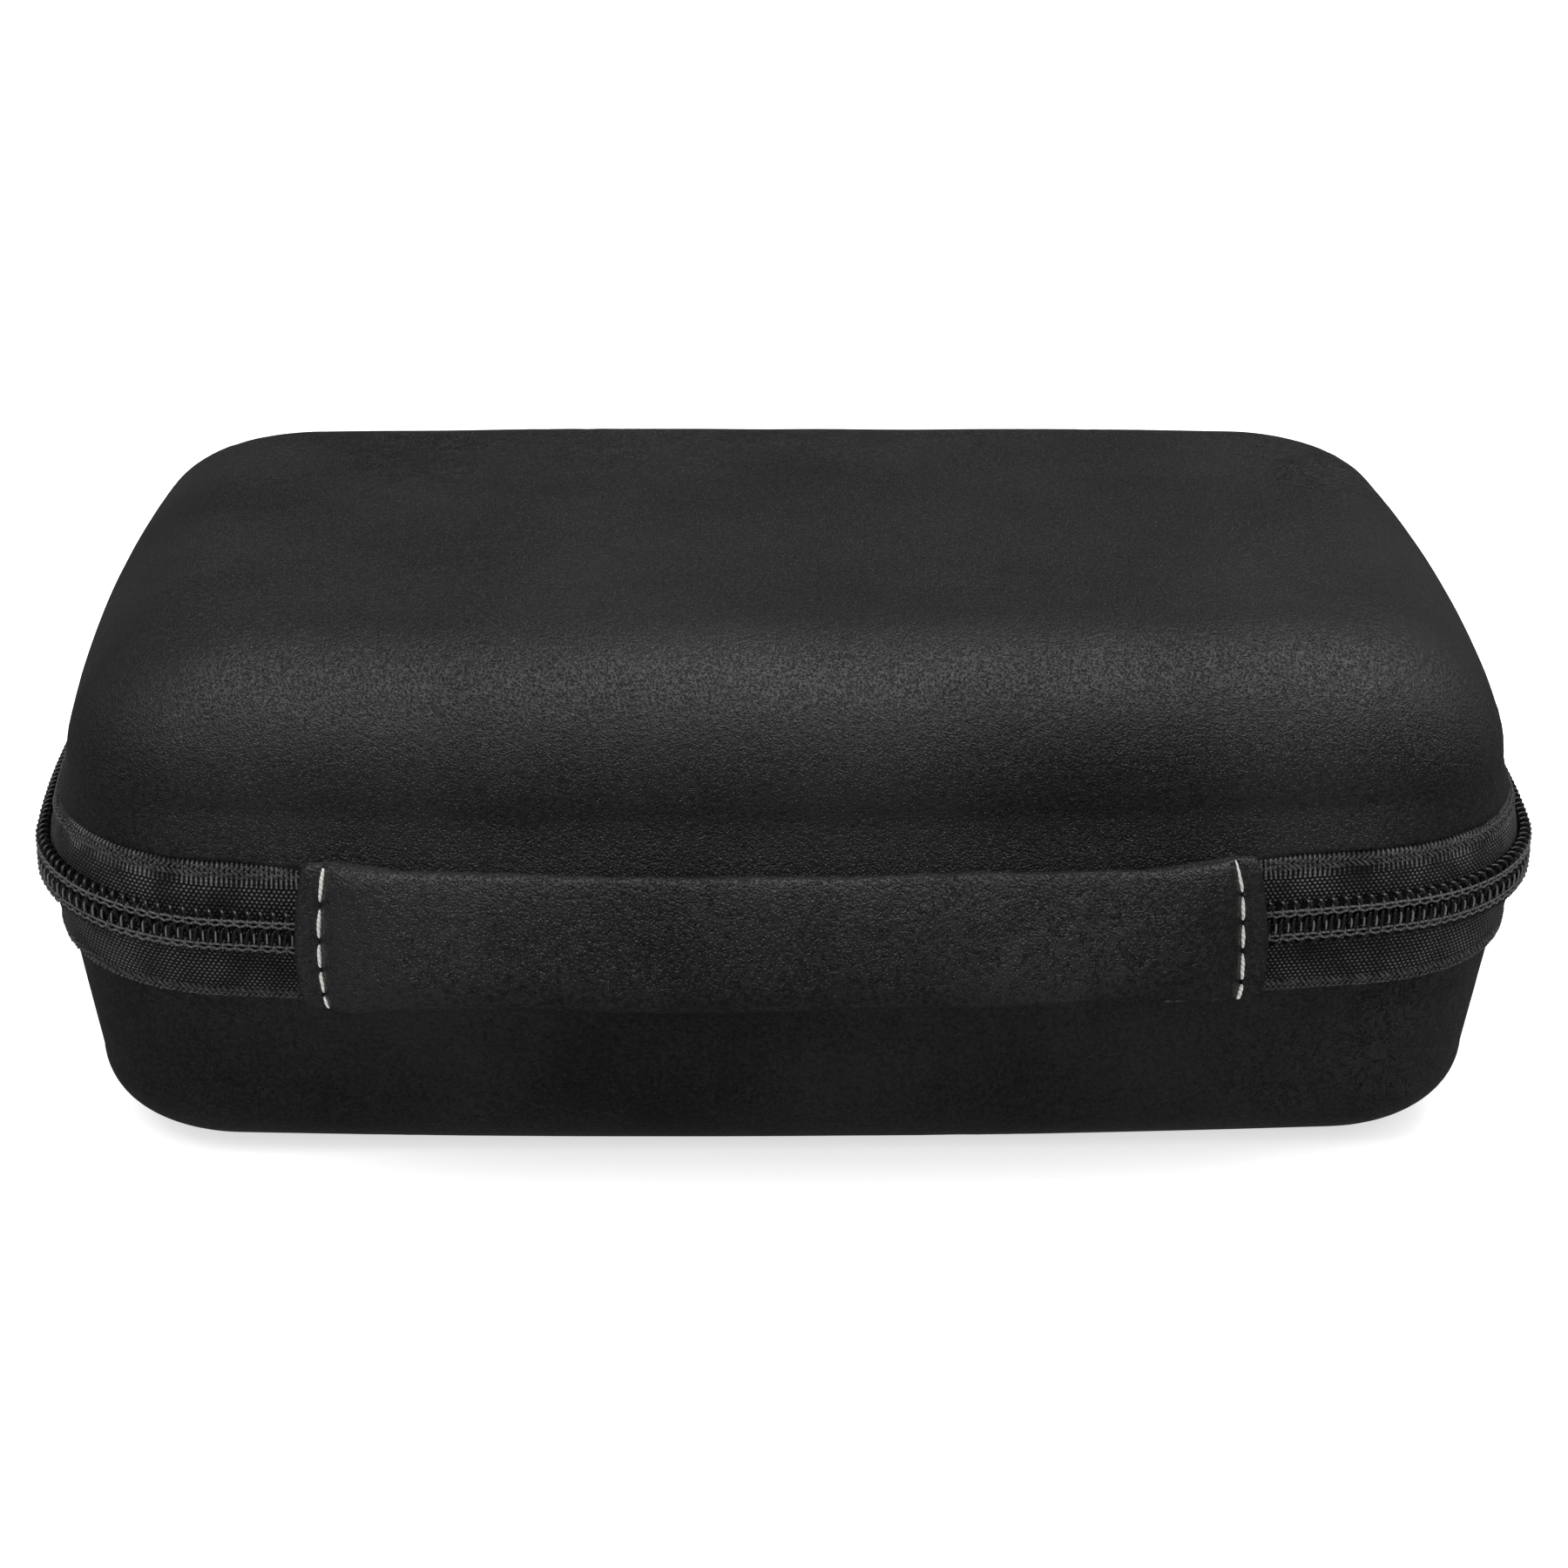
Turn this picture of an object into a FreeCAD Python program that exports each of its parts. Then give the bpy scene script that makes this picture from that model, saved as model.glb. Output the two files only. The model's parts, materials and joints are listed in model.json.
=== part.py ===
"""Hard headphone case: two moulded shells, a coil zipper round three sides and a strap handle."""
import FreeCAD, Part
import math
import os

# Overall sizes. X runs across the front, Y to the back, Z up; the origin is the centre of the base.
WIDTH = 250.0                 # across the zipper band
DEPTH = 156.0                 # front to back over the zipper band
HEIGHT = 88.5                 # resting face to the flat of the lid
PARTING_HEIGHT = 46.3         # plane where the two halves meet

# Outline of the rim, seen from above: eight tangent arcs.
CORNER_RADIUS = 30.5
FRONT_BOW_RADIUS = 1800.0
SIDE_BOW_RADIUS = 500.0

# Moulded shells: how far each leans in, and how round it is at the flat.
LID_LEAN = 9.0
LID_ROUNDING = 24.0
LID_CORNER_TIGHTER = 5.0
BASE_LEAN = 7.3
BASE_ROUNDING = 14.0
BASE_CORNER_TIGHTER = 5.0
CORNER_OPENING = 0.6          # share of the rounding by which the corners stay rounder in plan
ROUNDING_STEPS = 9
LEATHER = 0.8
FOAM = 4.0
LINING = 1.0

# Zipper band.
LID_EDGE = 10.5               # parting plane to the lower edge of the lid's leather
BASE_EDGE = 9.0               # parting plane to the upper edge of the base's leather
LID_TAPE_EDGE = 10.2          # parting plane to the upper edge of the lid's tape
BASE_TAPE_EDGE = 12.7         # parting plane to the lower edge of the base's tape
TAPE = 0.8
SEAM_FIT = 0.15               # between the base's leather and the tape sewn over it
TAPE_BULGE = 1.8              # outside of the tape past the leather, at the parting plane
TAPE_GAP = 0.75               # parting plane to the edge of each tape
COIL_HEIGHT = 1.9
COIL_NEAR = 0.7               # parting plane to the near and far side of each coil
COIL_FAR = 3.7
COIL_SHOULDER = 0.3           # thickness of a coil at its near and far side
FIT = 0.3                     # clearance between pieces that move past each other

# Inside of the rim.
RIM_GAP = 1.2                 # parting plane to the foam's edge
BINDING = 0.8
BINDING_HEIGHT = 7.6
BINDING_FOOT = 0.6            # thickness of the binding over the foam's edge
HINGE_LINING = 0.4

# Hinge at the back.
HINGE_HALF_LENGTH = 76.0
HINGE_STRIP = 1.0
STOP_LENGTH = 3.0
STOP_GAP = 0.5

# Sliders and pulls.
SLIDER_HALF_LENGTH = 6.5
SLIDER_HALF_HEIGHT = 5.2
SLIDER_WING = 1.2
SLIDER_INNER_HALF_HEIGHT = 4.6
SLIDER_INNER_WING = 0.8
SLIDER_WEB = 0.7
SLIDER_WEB_HALF_LENGTH = 2.5
SLIDER_CORNER = 2.0
SLIDER_OVERLAP = 0.2          # how far the slider's members run into each other
SLIDER_END_GAP = 1.0          # from each slider to where the side meets the rear corner
CORNER_FIT = 0.9              # outside clearance of the slider on the corner, so the lid can lift
BRIDGE_HALF_LENGTH = 3.2
BRIDGE_HALF_HEIGHT = 1.2
BRIDGE_OPENING = 1.7
BRIDGE_WALL = 0.8
BRIDGE_CUT = 1.0              # how far the cut for the opening runs past the bridge
PULL_BAR_RADIUS = 0.5
PULL_LENGTH = 16.5
PULL_HALF_HEIGHT = 3.4
PULL_THICKNESS = 1.1
PULL_EYE = 4.4
PULL_CORNER = 2.0

# Handle.
HANDLE_HALF_LENGTH = 75.2
HANDLE_HEIGHT = 24.0
HANDLE_RISE = 1.0             # middle of the handle above the parting plane
HANDLE_THICKNESS = 7.0
HANDLE_ROUNDING = 2.6
HANDLE_END = 9.0              # length of the flat end
HANDLE_END_THICKNESS = 3.0
HANDLE_COVER = 1.1
WEBBING = 1.2
WEBBING_HEIGHT = 18.0
ANCHOR_LENGTH = 14.0
STITCH_ROW = 70.9             # middle of the case to each row of stitches
STITCH_COUNT = 5
STITCH_RADIUS = 0.45
STITCH_LENGTH = 4.0

HALF_WIDTH = WIDTH / 2 - TAPE_BULGE - COIL_HEIGHT
HALF_DEPTH = DEPTH / 2 - TAPE_BULGE - COIL_HEIGHT
HINGE_Y = HALF_DEPTH + TAPE_BULGE + HINGE_STRIP - TAPE + FIT
SAME_LENGTH = 0.01            # edges whose lengths differ by less are taken as equal
UP = FreeCAD.Vector(0, 0, 1)


def outline_arcs(offset, tighter=0.0):
    """Arcs of the rim moved out by offset, as (centre x, centre y, radius, start, end)."""
    half_width = HALF_WIDTH + offset
    half_depth = HALF_DEPTH + offset
    corner = CORNER_RADIUS + offset - tighter
    front = FRONT_BOW_RADIUS + offset
    side = SIDE_BOW_RADIUS + offset
    front_y = front - half_depth
    side_x = half_width - side
    span = math.hypot(side_x, front_y)
    near = front - corner
    far = side - corner
    along = (near ** 2 - far ** 2 + span ** 2) / (2 * span)
    across = math.sqrt(near ** 2 - along ** 2)
    corner_x = (along * side_x + across * front_y) / span
    corner_y = front_y + (across * side_x - along * front_y) / span
    to_front = math.atan2(corner_y - front_y, corner_x)
    to_side = math.atan2(corner_y, corner_x - side_x)
    half = math.pi
    return [
        (0, front_y, front, -half - to_front, to_front),
        (corner_x, corner_y, corner, to_front, to_side),
        (side_x, 0, side, to_side, -to_side),
        (corner_x, -corner_y, corner, -to_side, -to_front),
        (0, -front_y, front, -to_front, half + to_front),
        (-corner_x, -corner_y, corner, half + to_front, half + to_side),
        (-side_x, 0, side, half + to_side, half - to_side),
        (-corner_x, corner_y, corner, half - to_side, half - to_front),
    ]


def on_arc(arc, angle, z):
    return FreeCAD.Vector(arc[0] + arc[2] * math.cos(angle), arc[1] + arc[2] * math.sin(angle), z)


def outline(offset, z, tighter=0.0):
    edges = []
    for arc in outline_arcs(offset, tighter):
        points = [on_arc(arc, angle, z) for angle in (arc[3], (arc[3] + arc[4]) / 2, arc[4])]
        edges.append(Part.Arc(*points).toShape())
    return Part.Wire(edges)


def prism(offset, low, high):
    """Upright block on the rim's outline."""
    face = Part.Face(outline(offset, low))
    return face.extrude(UP * (high - low))


def ring(outer, inner, low, high):
    return prism(outer, low, high).cut(prism(inner, low, high))


def dome(inside, edge, flat, lean, rounding, tighter):
    """Closed form of a shell, moved in by inside, from its edge height to its flat."""
    way = 1 if flat > edge else -1
    height = abs(flat - edge)
    wall = height - rounding
    sections = [outline(-inside, edge)]
    radius = rounding - inside
    lean_at_round = lean * wall / height
    for step in range(ROUNDING_STEPS + 1):
        angle = math.pi / 2 * step / ROUNDING_STEPS
        turned = 1 - math.cos(angle)
        z = edge + way * (wall + radius * math.sin(angle))
        offset = -inside - lean_at_round - radius * turned
        sections.append(outline(offset, z, tighter - CORNER_OPENING * rounding * turned))
    return Part.makeLoft(sections, True, True)


def shell_block(half, inside):
    """The solid inside one half of the case, from the rim to its flat, moved in by inside."""
    if half == "lid":
        edge = PARTING_HEIGHT + LID_EDGE
        form = dome(inside, edge, HEIGHT, LID_LEAN, LID_ROUNDING, LID_CORNER_TIGHTER)
        collar = prism(-inside, PARTING_HEIGHT + RIM_GAP, edge)
    else:
        edge = PARTING_HEIGHT - BASE_EDGE
        form = dome(inside, edge, 0.0, BASE_LEAN, BASE_ROUNDING, BASE_CORNER_TIGHTER)
        collar = prism(-inside, edge, PARTING_HEIGHT - RIM_GAP)
    return form, collar


def shell_layers(half):
    """Leather skin, foam shell and lining of one half, one inside the other."""
    depths = [0.0, LEATHER, LEATHER + FOAM, LEATHER + FOAM + LINING]
    blocks = [shell_block(half, depth) for depth in depths]
    leather = blocks[0][0].cut(blocks[1][0])
    solids = [leather]
    for outer, inner in zip(blocks[1:-1], blocks[2:]):
        body = outer[0].fuse(outer[1])
        hollow = inner[0].fuse(inner[1])
        solids.append(body.cut(hollow))
    return solids


def side_of(half):
    return 1 if half == "lid" else -1


def place(half, height):
    """Height above the floor of a point that far from the parting plane, on one half."""
    return PARTING_HEIGHT + side_of(half) * height


def binding(half):
    """Fabric edge inside the rim: a leg down the lining and a foot over the foam's edge."""
    skin = LEATHER + FOAM + LINING
    foot = sorted((place(half, RIM_GAP - BINDING_FOOT), place(half, RIM_GAP)))
    leg = sorted((place(half, RIM_GAP), place(half, RIM_GAP + BINDING_HEIGHT)))
    over = ring(-LEATHER - FIT, -skin - BINDING, foot[0], foot[1])
    return over.fuse(ring(-skin, -skin - BINDING, leg[0], leg[1]))


def tape_edge(half):
    return LID_TAPE_EDGE if half == "lid" else BASE_TAPE_EDGE


def band_offset(half, height):
    """How far the outside of the tape stands past the leather, at a height from the parting."""
    leaned = BASE_LEAN * (BASE_TAPE_EDGE - BASE_EDGE) / (PARTING_HEIGHT - BASE_EDGE)
    low = 0.0 if half == "lid" else TAPE + SEAM_FIT - leaned
    share = (abs(height) - TAPE_GAP) / (tape_edge(half) - TAPE_GAP)
    return TAPE_BULGE - (TAPE_BULGE - low) * share ** 2


def band_section(half, outer, thickness, near, far):
    """Outline of a strip of the band as (offset, height) points, bowed like the tape."""
    heights = [near, (near + far) / 2, far]
    front = [(band_offset(half, h) + outer, side_of(half) * h) for h in heights]
    back = [(x - thickness, h) for x, h in reversed(front)]
    return front, back


def turn_section(arc, section, start, end):
    """Turn a (offset, height) section about the middle of one arc of the rim."""
    front, back = section
    at = lambda p: FreeCAD.Vector(arc[0] + arc[2] + p[0], arc[1], PARTING_HEIGHT + p[1])
    edges = [
        Part.Arc(*[at(p) for p in front]).toShape(),
        Part.makeLine(at(front[-1]), at(back[0])),
        Part.Arc(*[at(p) for p in back]).toShape(),
        Part.makeLine(at(back[-1]), at(front[0])),
    ]
    face = Part.Face(Part.Wire(edges))
    return turn_face(arc, face, start, end)


def turn_face(arc, face, start, end):
    middle = FreeCAD.Vector(arc[0], arc[1], 0)
    face.rotate(middle, UP, math.degrees(start))
    solid = face.revolve(middle, UP, math.degrees(end - start))
    if solid.Volume < 0:
        solid.reverse()
    return solid


def block_face(arc, near, far, low, high):
    """Upright face at the start of an arc, from offset near to far and height low to high."""
    x = arc[0] + arc[2]
    corners = [(x + near, low), (x + far, low), (x + far, high), (x + near, high)]
    points = [FreeCAD.Vector(a, arc[1], PARTING_HEIGHT + b) for a, b in corners]
    return Part.Face(Part.makePolygon(points + points[:1]))


def rear_angle(arc, x):
    return math.acos((x - arc[0]) / arc[2])


def zipper_path(stand_off):
    """Arcs of the zipper: round the sides and front, open at the back."""
    arcs = outline_arcs(0.0)
    rear = arcs[4]
    start = HINGE_HALF_LENGTH + STOP_GAP + stand_off
    right = rear_angle(rear, start)
    left = rear_angle(rear, -start)
    path = [(rear, left, rear[4])] + [(arc, arc[3], arc[4]) for arc in arcs[5:]]
    path += [(arc, arc[3], arc[4]) for arc in arcs[:4]]
    return path + [(rear, rear[3], right)]


def along_zipper(section, stand_off=0.0):
    pieces = [turn_section(arc, section, a, b) for arc, a, b in zipper_path(stand_off)]
    return pieces[0].multiFuse(pieces[1:]).removeSplitter()


def zipper_tape(half):
    return along_zipper(band_section(half, 0.0, TAPE, TAPE_GAP, tape_edge(half)))


def coil_section(half):
    """Round-backed section of one coil, standing on the tape."""
    way = side_of(half)
    middle = (COIL_NEAR + COIL_FAR) / 2
    seat = [band_offset(half, h) for h in (COIL_NEAR, middle, COIL_FAR)]
    front = [(seat[0] + COIL_SHOULDER, way * COIL_NEAR), (seat[1] + COIL_HEIGHT, way * middle),
             (seat[2] + COIL_SHOULDER, way * COIL_FAR)]
    back = [(seat[2], way * COIL_FAR), (seat[1], way * middle), (seat[0], way * COIL_NEAR)]
    return front, back


def zipper_coil(half):
    return along_zipper(coil_section(half), STOP_LENGTH + STOP_GAP)


def end_stop(half, way):
    """Crimped stop on one tape at the end of its coil."""
    rear = outline_arcs(0.0)[4]
    section = band_section(half, COIL_HEIGHT, COIL_HEIGHT, COIL_NEAR, COIL_FAR)
    start = HINGE_HALF_LENGTH + STOP_GAP
    ends = sorted(rear_angle(rear, way * x) for x in (start, start + STOP_LENGTH))
    return turn_section(rear, section, ends[0], ends[1])


def hinge_strip(half):
    """Half of the strip that joins lid and base outside, at the back."""
    rear = outline_arcs(0.0)[4]
    section = band_section(half, HINGE_STRIP - TAPE, HINGE_STRIP, FIT / 2, tape_edge(half))
    ends = sorted(rear_angle(rear, x) for x in (-HINGE_HALF_LENGTH, HINGE_HALF_LENGTH))
    return turn_section(rear, section, ends[0], ends[1])


def hinge_lining(half):
    """Half of the inner fold at the back, lying on the binding's foot."""
    rear = outline_arcs(0.0)[4]
    foot = RIM_GAP - BINDING_FOOT
    levels = sorted(side_of(half) * h for h in (foot - HINGE_LINING, foot))
    skin = LEATHER + FOAM + LINING
    face = block_face(rear, -skin, TAPE_BULGE - HINGE_STRIP - FIT, levels[0], levels[1])
    ends = sorted(rear_angle(rear, x) for x in (-HINGE_HALF_LENGTH, HINGE_HALF_LENGTH))
    return turn_face(rear, face, ends[0], ends[1])


def slider_place(name):
    """Arc that a slider follows, its angle there and its outer clearance."""
    arcs = outline_arcs(0.0)
    if name == "front":
        arc = arcs[2]
        return arc, arc[4] - slider_reach(arc, SLIDER_HALF_LENGTH + SLIDER_END_GAP), FIT
    arc = arcs[3]
    return arc, arc[3] + slider_reach(arc, SLIDER_HALF_LENGTH + SLIDER_END_GAP), CORNER_FIT


def slider_reach(arc, length):
    """Angle that a length along the outside of the zipper takes on an arc of the rim."""
    return length / (arc[2] + TAPE_BULGE + COIL_HEIGHT)


def slider(name):
    """Slider body astride both coils: outer wing, web, inner wing and the pull's bridge."""
    arc, middle, clearance = slider_place(name)
    outer = TAPE_BULGE + COIL_HEIGHT + clearance
    inner = band_offset("lid", SLIDER_INNER_HALF_HEIGHT) - TAPE - FIT

    def piece(near, far, half_height, half_length):
        face = block_face(arc, near, far, -half_height, half_height)
        reach = slider_reach(arc, half_length)
        return turn_face(arc, face, middle - reach, middle + reach)

    wing = piece(outer, outer + SLIDER_WING, SLIDER_HALF_HEIGHT, SLIDER_HALF_LENGTH)
    short = [e for e in wing.Edges if abs(e.Length - SLIDER_WING) < SAME_LENGTH]
    wing = wing.makeFillet(SLIDER_CORNER, short)
    under = piece(inner - SLIDER_INNER_WING, inner, SLIDER_INNER_HALF_HEIGHT, SLIDER_HALF_LENGTH)
    web = piece(inner - SLIDER_OVERLAP, outer + SLIDER_OVERLAP, SLIDER_WEB / 2,
                SLIDER_WEB_HALF_LENGTH)
    top = outer + SLIDER_WING
    arch = piece(top - SLIDER_OVERLAP, top + BRIDGE_OPENING + BRIDGE_WALL, BRIDGE_HALF_HEIGHT,
                 BRIDGE_HALF_LENGTH)
    opening = piece(top, top + BRIDGE_OPENING, BRIDGE_HALF_HEIGHT + BRIDGE_CUT,
                    BRIDGE_HALF_LENGTH - BRIDGE_WALL)
    return wing.fuse([under, web, arch.cut(opening)])


def pull_axis(name):
    """Where a pull turns on its slider, seen from above, and the angle of its slider."""
    arc, middle, clearance = slider_place(name)
    radius = arc[2] + TAPE_BULGE + COIL_HEIGHT + clearance + SLIDER_WING + BRIDGE_OPENING / 2
    return arc[0] + radius * math.cos(middle), arc[1] + radius * math.sin(middle), middle


def pull(name):
    """Pull tab: a bar through the bridge, two arms and a plate along the zipper.

    It points away from the other slider: forwards on the front one, backwards on the rear one.
    """
    low = PARTING_HEIGHT - PULL_HALF_HEIGHT
    bar = Part.makeCylinder(PULL_BAR_RADIUS, 2 * PULL_HALF_HEIGHT, FreeCAD.Vector(0, 0, low), UP)
    plate = Part.makeBox(PULL_THICKNESS, PULL_LENGTH, 2 * PULL_HALF_HEIGHT,
                         FreeCAD.Vector(-PULL_THICKNESS / 2, 0, low))
    arm = PULL_HALF_HEIGHT - BRIDGE_HALF_HEIGHT - 2 * FIT
    eye = Part.makeBox(PULL_THICKNESS, PULL_EYE, 2 * (PULL_HALF_HEIGHT - arm),
                       FreeCAD.Vector(-PULL_THICKNESS / 2, 0, low + arm))
    ends = [e for e in plate.Edges if abs(e.Length - PULL_THICKNESS) < SAME_LENGTH
            and e.CenterOfMass.y > PULL_EYE]
    solid = plate.makeFillet(PULL_CORNER, ends).cut(eye).fuse(bar)
    if name == "front":
        solid = solid.mirror(FreeCAD.Vector(0, 0, 0), FreeCAD.Vector(0, 1, 0))
    x, y, middle = pull_axis(name)
    solid.rotate(FreeCAD.Vector(0, 0, 0), UP, math.degrees(middle))
    solid.translate(FreeCAD.Vector(x, y, 0))
    return solid


def handle_block(near, far, half_height, half_length, rounding=0.0):
    """Block along the front of the case at the handle's height, from offset near to far."""
    front = outline_arcs(0.0)[0]
    face = block_face(front, near, far, HANDLE_RISE - half_height, HANDLE_RISE + half_height)
    reach = math.asin(half_length / front[2])
    solid = turn_face(front, face, -math.pi / 2 - reach, -math.pi / 2 + reach)
    if rounding:
        long_edges = [e for e in solid.Edges if e.Length > half_length]
        solid = solid.makeFillet(rounding, long_edges)
    return solid


def handle():
    """Leather sleeve, its padding, and the webbing through it from end to end."""
    back = TAPE_BULGE + COIL_HEIGHT + 2 * FIT
    front = back + HANDLE_THICKNESS
    half = HANDLE_HEIGHT / 2
    grip = HANDLE_HALF_LENGTH - HANDLE_END
    body = handle_block(back, front, half, grip, HANDLE_ROUNDING)
    flat = handle_block(back, back + HANDLE_END_THICKNESS, half, HANDLE_HALF_LENGTH)
    core = handle_block(back + HANDLE_COVER, front - HANDLE_COVER, half - HANDLE_COVER,
                        grip - HANDLE_COVER, HANDLE_ROUNDING - HANDLE_COVER)
    strap = handle_block(back + HANDLE_COVER, back + HANDLE_COVER + WEBBING,
                         WEBBING_HEIGHT / 2, HANDLE_HALF_LENGTH - HANDLE_COVER)
    cover = body.fuse(flat).cut(core).cut(strap)
    return {"handle_cover": cover, "handle_padding": core.cut(strap), "handle_webbing": strap}


def handle_anchor(way):
    """Folded webbing tab that holds an end of the handle to the base's tape."""
    front = outline_arcs(0.0)[0]
    back = TAPE_BULGE + COIL_HEIGHT + 2 * FIT
    low = -BASE_TAPE_EDGE + FIT
    high = -COIL_FAR - FIT
    face = block_face(front, band_offset("base", high), back, low, high)
    outer = HANDLE_HALF_LENGTH - HANDLE_COVER
    ends = sorted(-math.pi / 2 + way * math.asin(x / front[2])
                  for x in (outer, outer - ANCHOR_LENGTH))
    return turn_face(front, face, ends[0], ends[1])


def handle_stitches(way):
    """Row of thread across a flat end of the handle: long stitches joined by short dips."""
    front = outline_arcs(0.0)[0]
    back = TAPE_BULGE + COIL_HEIGHT + 2 * FIT
    angle = -math.pi / 2 + way * math.asin(STITCH_ROW / front[2])
    radius = front[2] + back + HANDLE_END_THICKNESS + STITCH_RADIUS
    x = front[0] + radius * math.cos(angle)
    y = front[1] + radius * math.sin(angle)
    pitch = HANDLE_HEIGHT / STITCH_COUNT
    low = PARTING_HEIGHT + HANDLE_RISE - HANDLE_HEIGHT / 2
    run = Part.makeCylinder(STITCH_RADIUS / 2, HANDLE_HEIGHT - pitch,
                            FreeCAD.Vector(x, y, low + pitch / 2), UP)
    bars = []
    for index in range(STITCH_COUNT):
        start = low + index * pitch + (pitch - STITCH_LENGTH) / 2
        bars.append(Part.makeCylinder(STITCH_RADIUS, STITCH_LENGTH,
                                      FreeCAD.Vector(x, y, start), UP))
    return run.multiFuse(bars)


def build():
    """Every piece of the case by name."""
    parts = {}
    for half in ("lid", "base"):
        names = ("leather", "shell", "lining")
        for name, solid in zip(names, shell_layers(half)):
            parts[half + "_" + name] = solid
        parts[half + "_binding"] = binding(half)
        parts[half + "_zipper_tape"] = zipper_tape(half)
        parts[half + "_zipper_coil"] = zipper_coil(half)
        parts[half + "_hinge_strip"] = hinge_strip(half)
        parts[half + "_hinge_lining"] = hinge_lining(half)
        for name, way in (("left", -1), ("right", 1)):
            parts[half + "_end_stop_" + name] = end_stop(half, way)
    for name in ("front", "rear"):
        parts["slider_" + name] = slider(name)
        parts["pull_" + name] = pull(name)
    parts.update(handle())
    for name, way in (("left", -1), ("right", 1)):
        parts["handle_anchor_" + name] = handle_anchor(way)
        parts["handle_stitches_" + name] = handle_stitches(way)
    return parts


os.makedirs("parts", exist_ok=True)
for name, shape in build().items():
    solid = shape.Solids[0] if len(shape.Solids) == 1 else shape
    print(name, len(shape.Solids), shape.isValid(), round(shape.Volume / 1000, 3))
    solid.exportStep("parts/" + name + ".step")
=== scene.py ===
"""Hard headphone case: its leather shells, zipper, hinge and handle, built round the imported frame."""

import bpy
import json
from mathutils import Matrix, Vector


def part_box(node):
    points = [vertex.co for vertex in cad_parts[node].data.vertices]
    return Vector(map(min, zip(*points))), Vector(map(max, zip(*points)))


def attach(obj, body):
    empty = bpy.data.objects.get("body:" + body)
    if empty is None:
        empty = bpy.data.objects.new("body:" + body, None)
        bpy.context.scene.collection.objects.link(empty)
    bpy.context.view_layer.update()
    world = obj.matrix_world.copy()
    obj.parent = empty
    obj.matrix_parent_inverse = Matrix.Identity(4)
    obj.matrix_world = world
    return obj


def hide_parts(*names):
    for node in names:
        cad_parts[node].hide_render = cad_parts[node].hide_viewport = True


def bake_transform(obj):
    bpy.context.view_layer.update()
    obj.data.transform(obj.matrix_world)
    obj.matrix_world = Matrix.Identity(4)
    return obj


bl_info = {
    "name": "Headphone case",
    "version": (1, 0, 0),
    "blender": (4, 5, 0),
    "location": "3D View > Sidebar > Case",
    "description": "Builds a zipped hard case with a strap handle around its frame",
    "category": "Add Mesh",
}

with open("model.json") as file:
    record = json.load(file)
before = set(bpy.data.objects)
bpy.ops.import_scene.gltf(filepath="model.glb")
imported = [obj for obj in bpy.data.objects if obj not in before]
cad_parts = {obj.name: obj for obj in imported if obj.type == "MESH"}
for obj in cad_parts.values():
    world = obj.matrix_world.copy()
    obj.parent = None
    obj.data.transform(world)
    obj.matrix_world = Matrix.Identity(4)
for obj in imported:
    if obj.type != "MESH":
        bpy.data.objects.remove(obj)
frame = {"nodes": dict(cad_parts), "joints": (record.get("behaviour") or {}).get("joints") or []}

import contextlib
import json
import math
import random

import bmesh
import bpy
import numpy as np
from mathutils import Matrix, Vector, noise

MM = 0.001
JOINTS = {joint["name"]: joint for joint in frame["joints"]}
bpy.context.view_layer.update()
LID_LOW, LID_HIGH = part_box("lid_leather")
BASE_LOW, BASE_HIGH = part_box("base_leather")
COVER_LOW, COVER_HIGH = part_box("handle_cover")
HINGE_REACH = abs(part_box("base_hinge_strip")[0].x)
PARTING = JOINTS["lid_hinge"]["pos_m"][2]
HALVES = {"lid": 1, "base": -1}
SIDES = {"left": -1, "right": 1}
SHELL_EDGE = {"lid": LID_LOW.z, "base": BASE_HIGH.z}
TAPE_REACH = {"lid": abs(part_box("lid_zipper_tape")[1].z - PARTING),
              "base": abs(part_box("base_zipper_tape")[0].z - PARTING)}
TAPE_GAP = 0.75 * MM          # parting plane to the edge of a tape
TAPE_BULGE = 1.8 * MM         # how far the tapes stand past the rim beside the parting plane
COIL_MIDDLE = 2.2 * MM        # parting plane to the middle of a coil's legs
COIL_END = 3.5 * MM           # end of the zipper to a coil's first turn
PATH_STEP = 0.5 * MM          # spacing of the points that repeats follow


# ---------------------------------------------------------------- sizes and colours

def length(name, text, default):
    return bpy.props.FloatProperty(name=name, description=text, default=default, unit="LENGTH",
                                   precision=5)


def colour(name, text, default):
    return bpy.props.FloatVectorProperty(name=name, description=text, default=default, size=3,
                                         subtype="COLOR", min=0.0, max=1.0)


class CaseSizes(bpy.types.PropertyGroup):
    """Sizes of the case that its pieces share."""
    corner: length("Corner", "Radius of the rim's corners, from above", 30.5 * MM)
    front_bow: length("Front bow", "Radius of the bowed front and back", 1800 * MM)
    side_bow: length("Side bow", "Radius of the bowed sides", 500 * MM)
    lid_lean: length("Lid lean", "How far the lid's wall leans in", 9 * MM)
    lid_round: length("Lid rounding", "Radius where the lid's wall meets its top", 24 * MM)
    base_lean: length("Base lean", "How far the base's wall leans in", 7.3 * MM)
    base_round: length("Base rounding", "Radius where the base's wall meets its bottom", 14 * MM)
    mesh_step: length("Mesh step", "Spacing of the shells' vertices", 1.15 * MM)
    wall: length("Wall", "Leather and foam together", 4.8 * MM)
    lining: length("Lining", "Thickness of the lining", 1 * MM)
    coil_pitch: length("Coil pitch", "Distance from one turn of the zipper's coil to the next",
                       2.0 * MM)
    wire: length("Coil wire", "Diameter of the coil's wire", 0.72 * MM)
    seam: length("Seam pitch", "Distance from stitch to stitch in the dark seams", 3.2 * MM)


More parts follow.
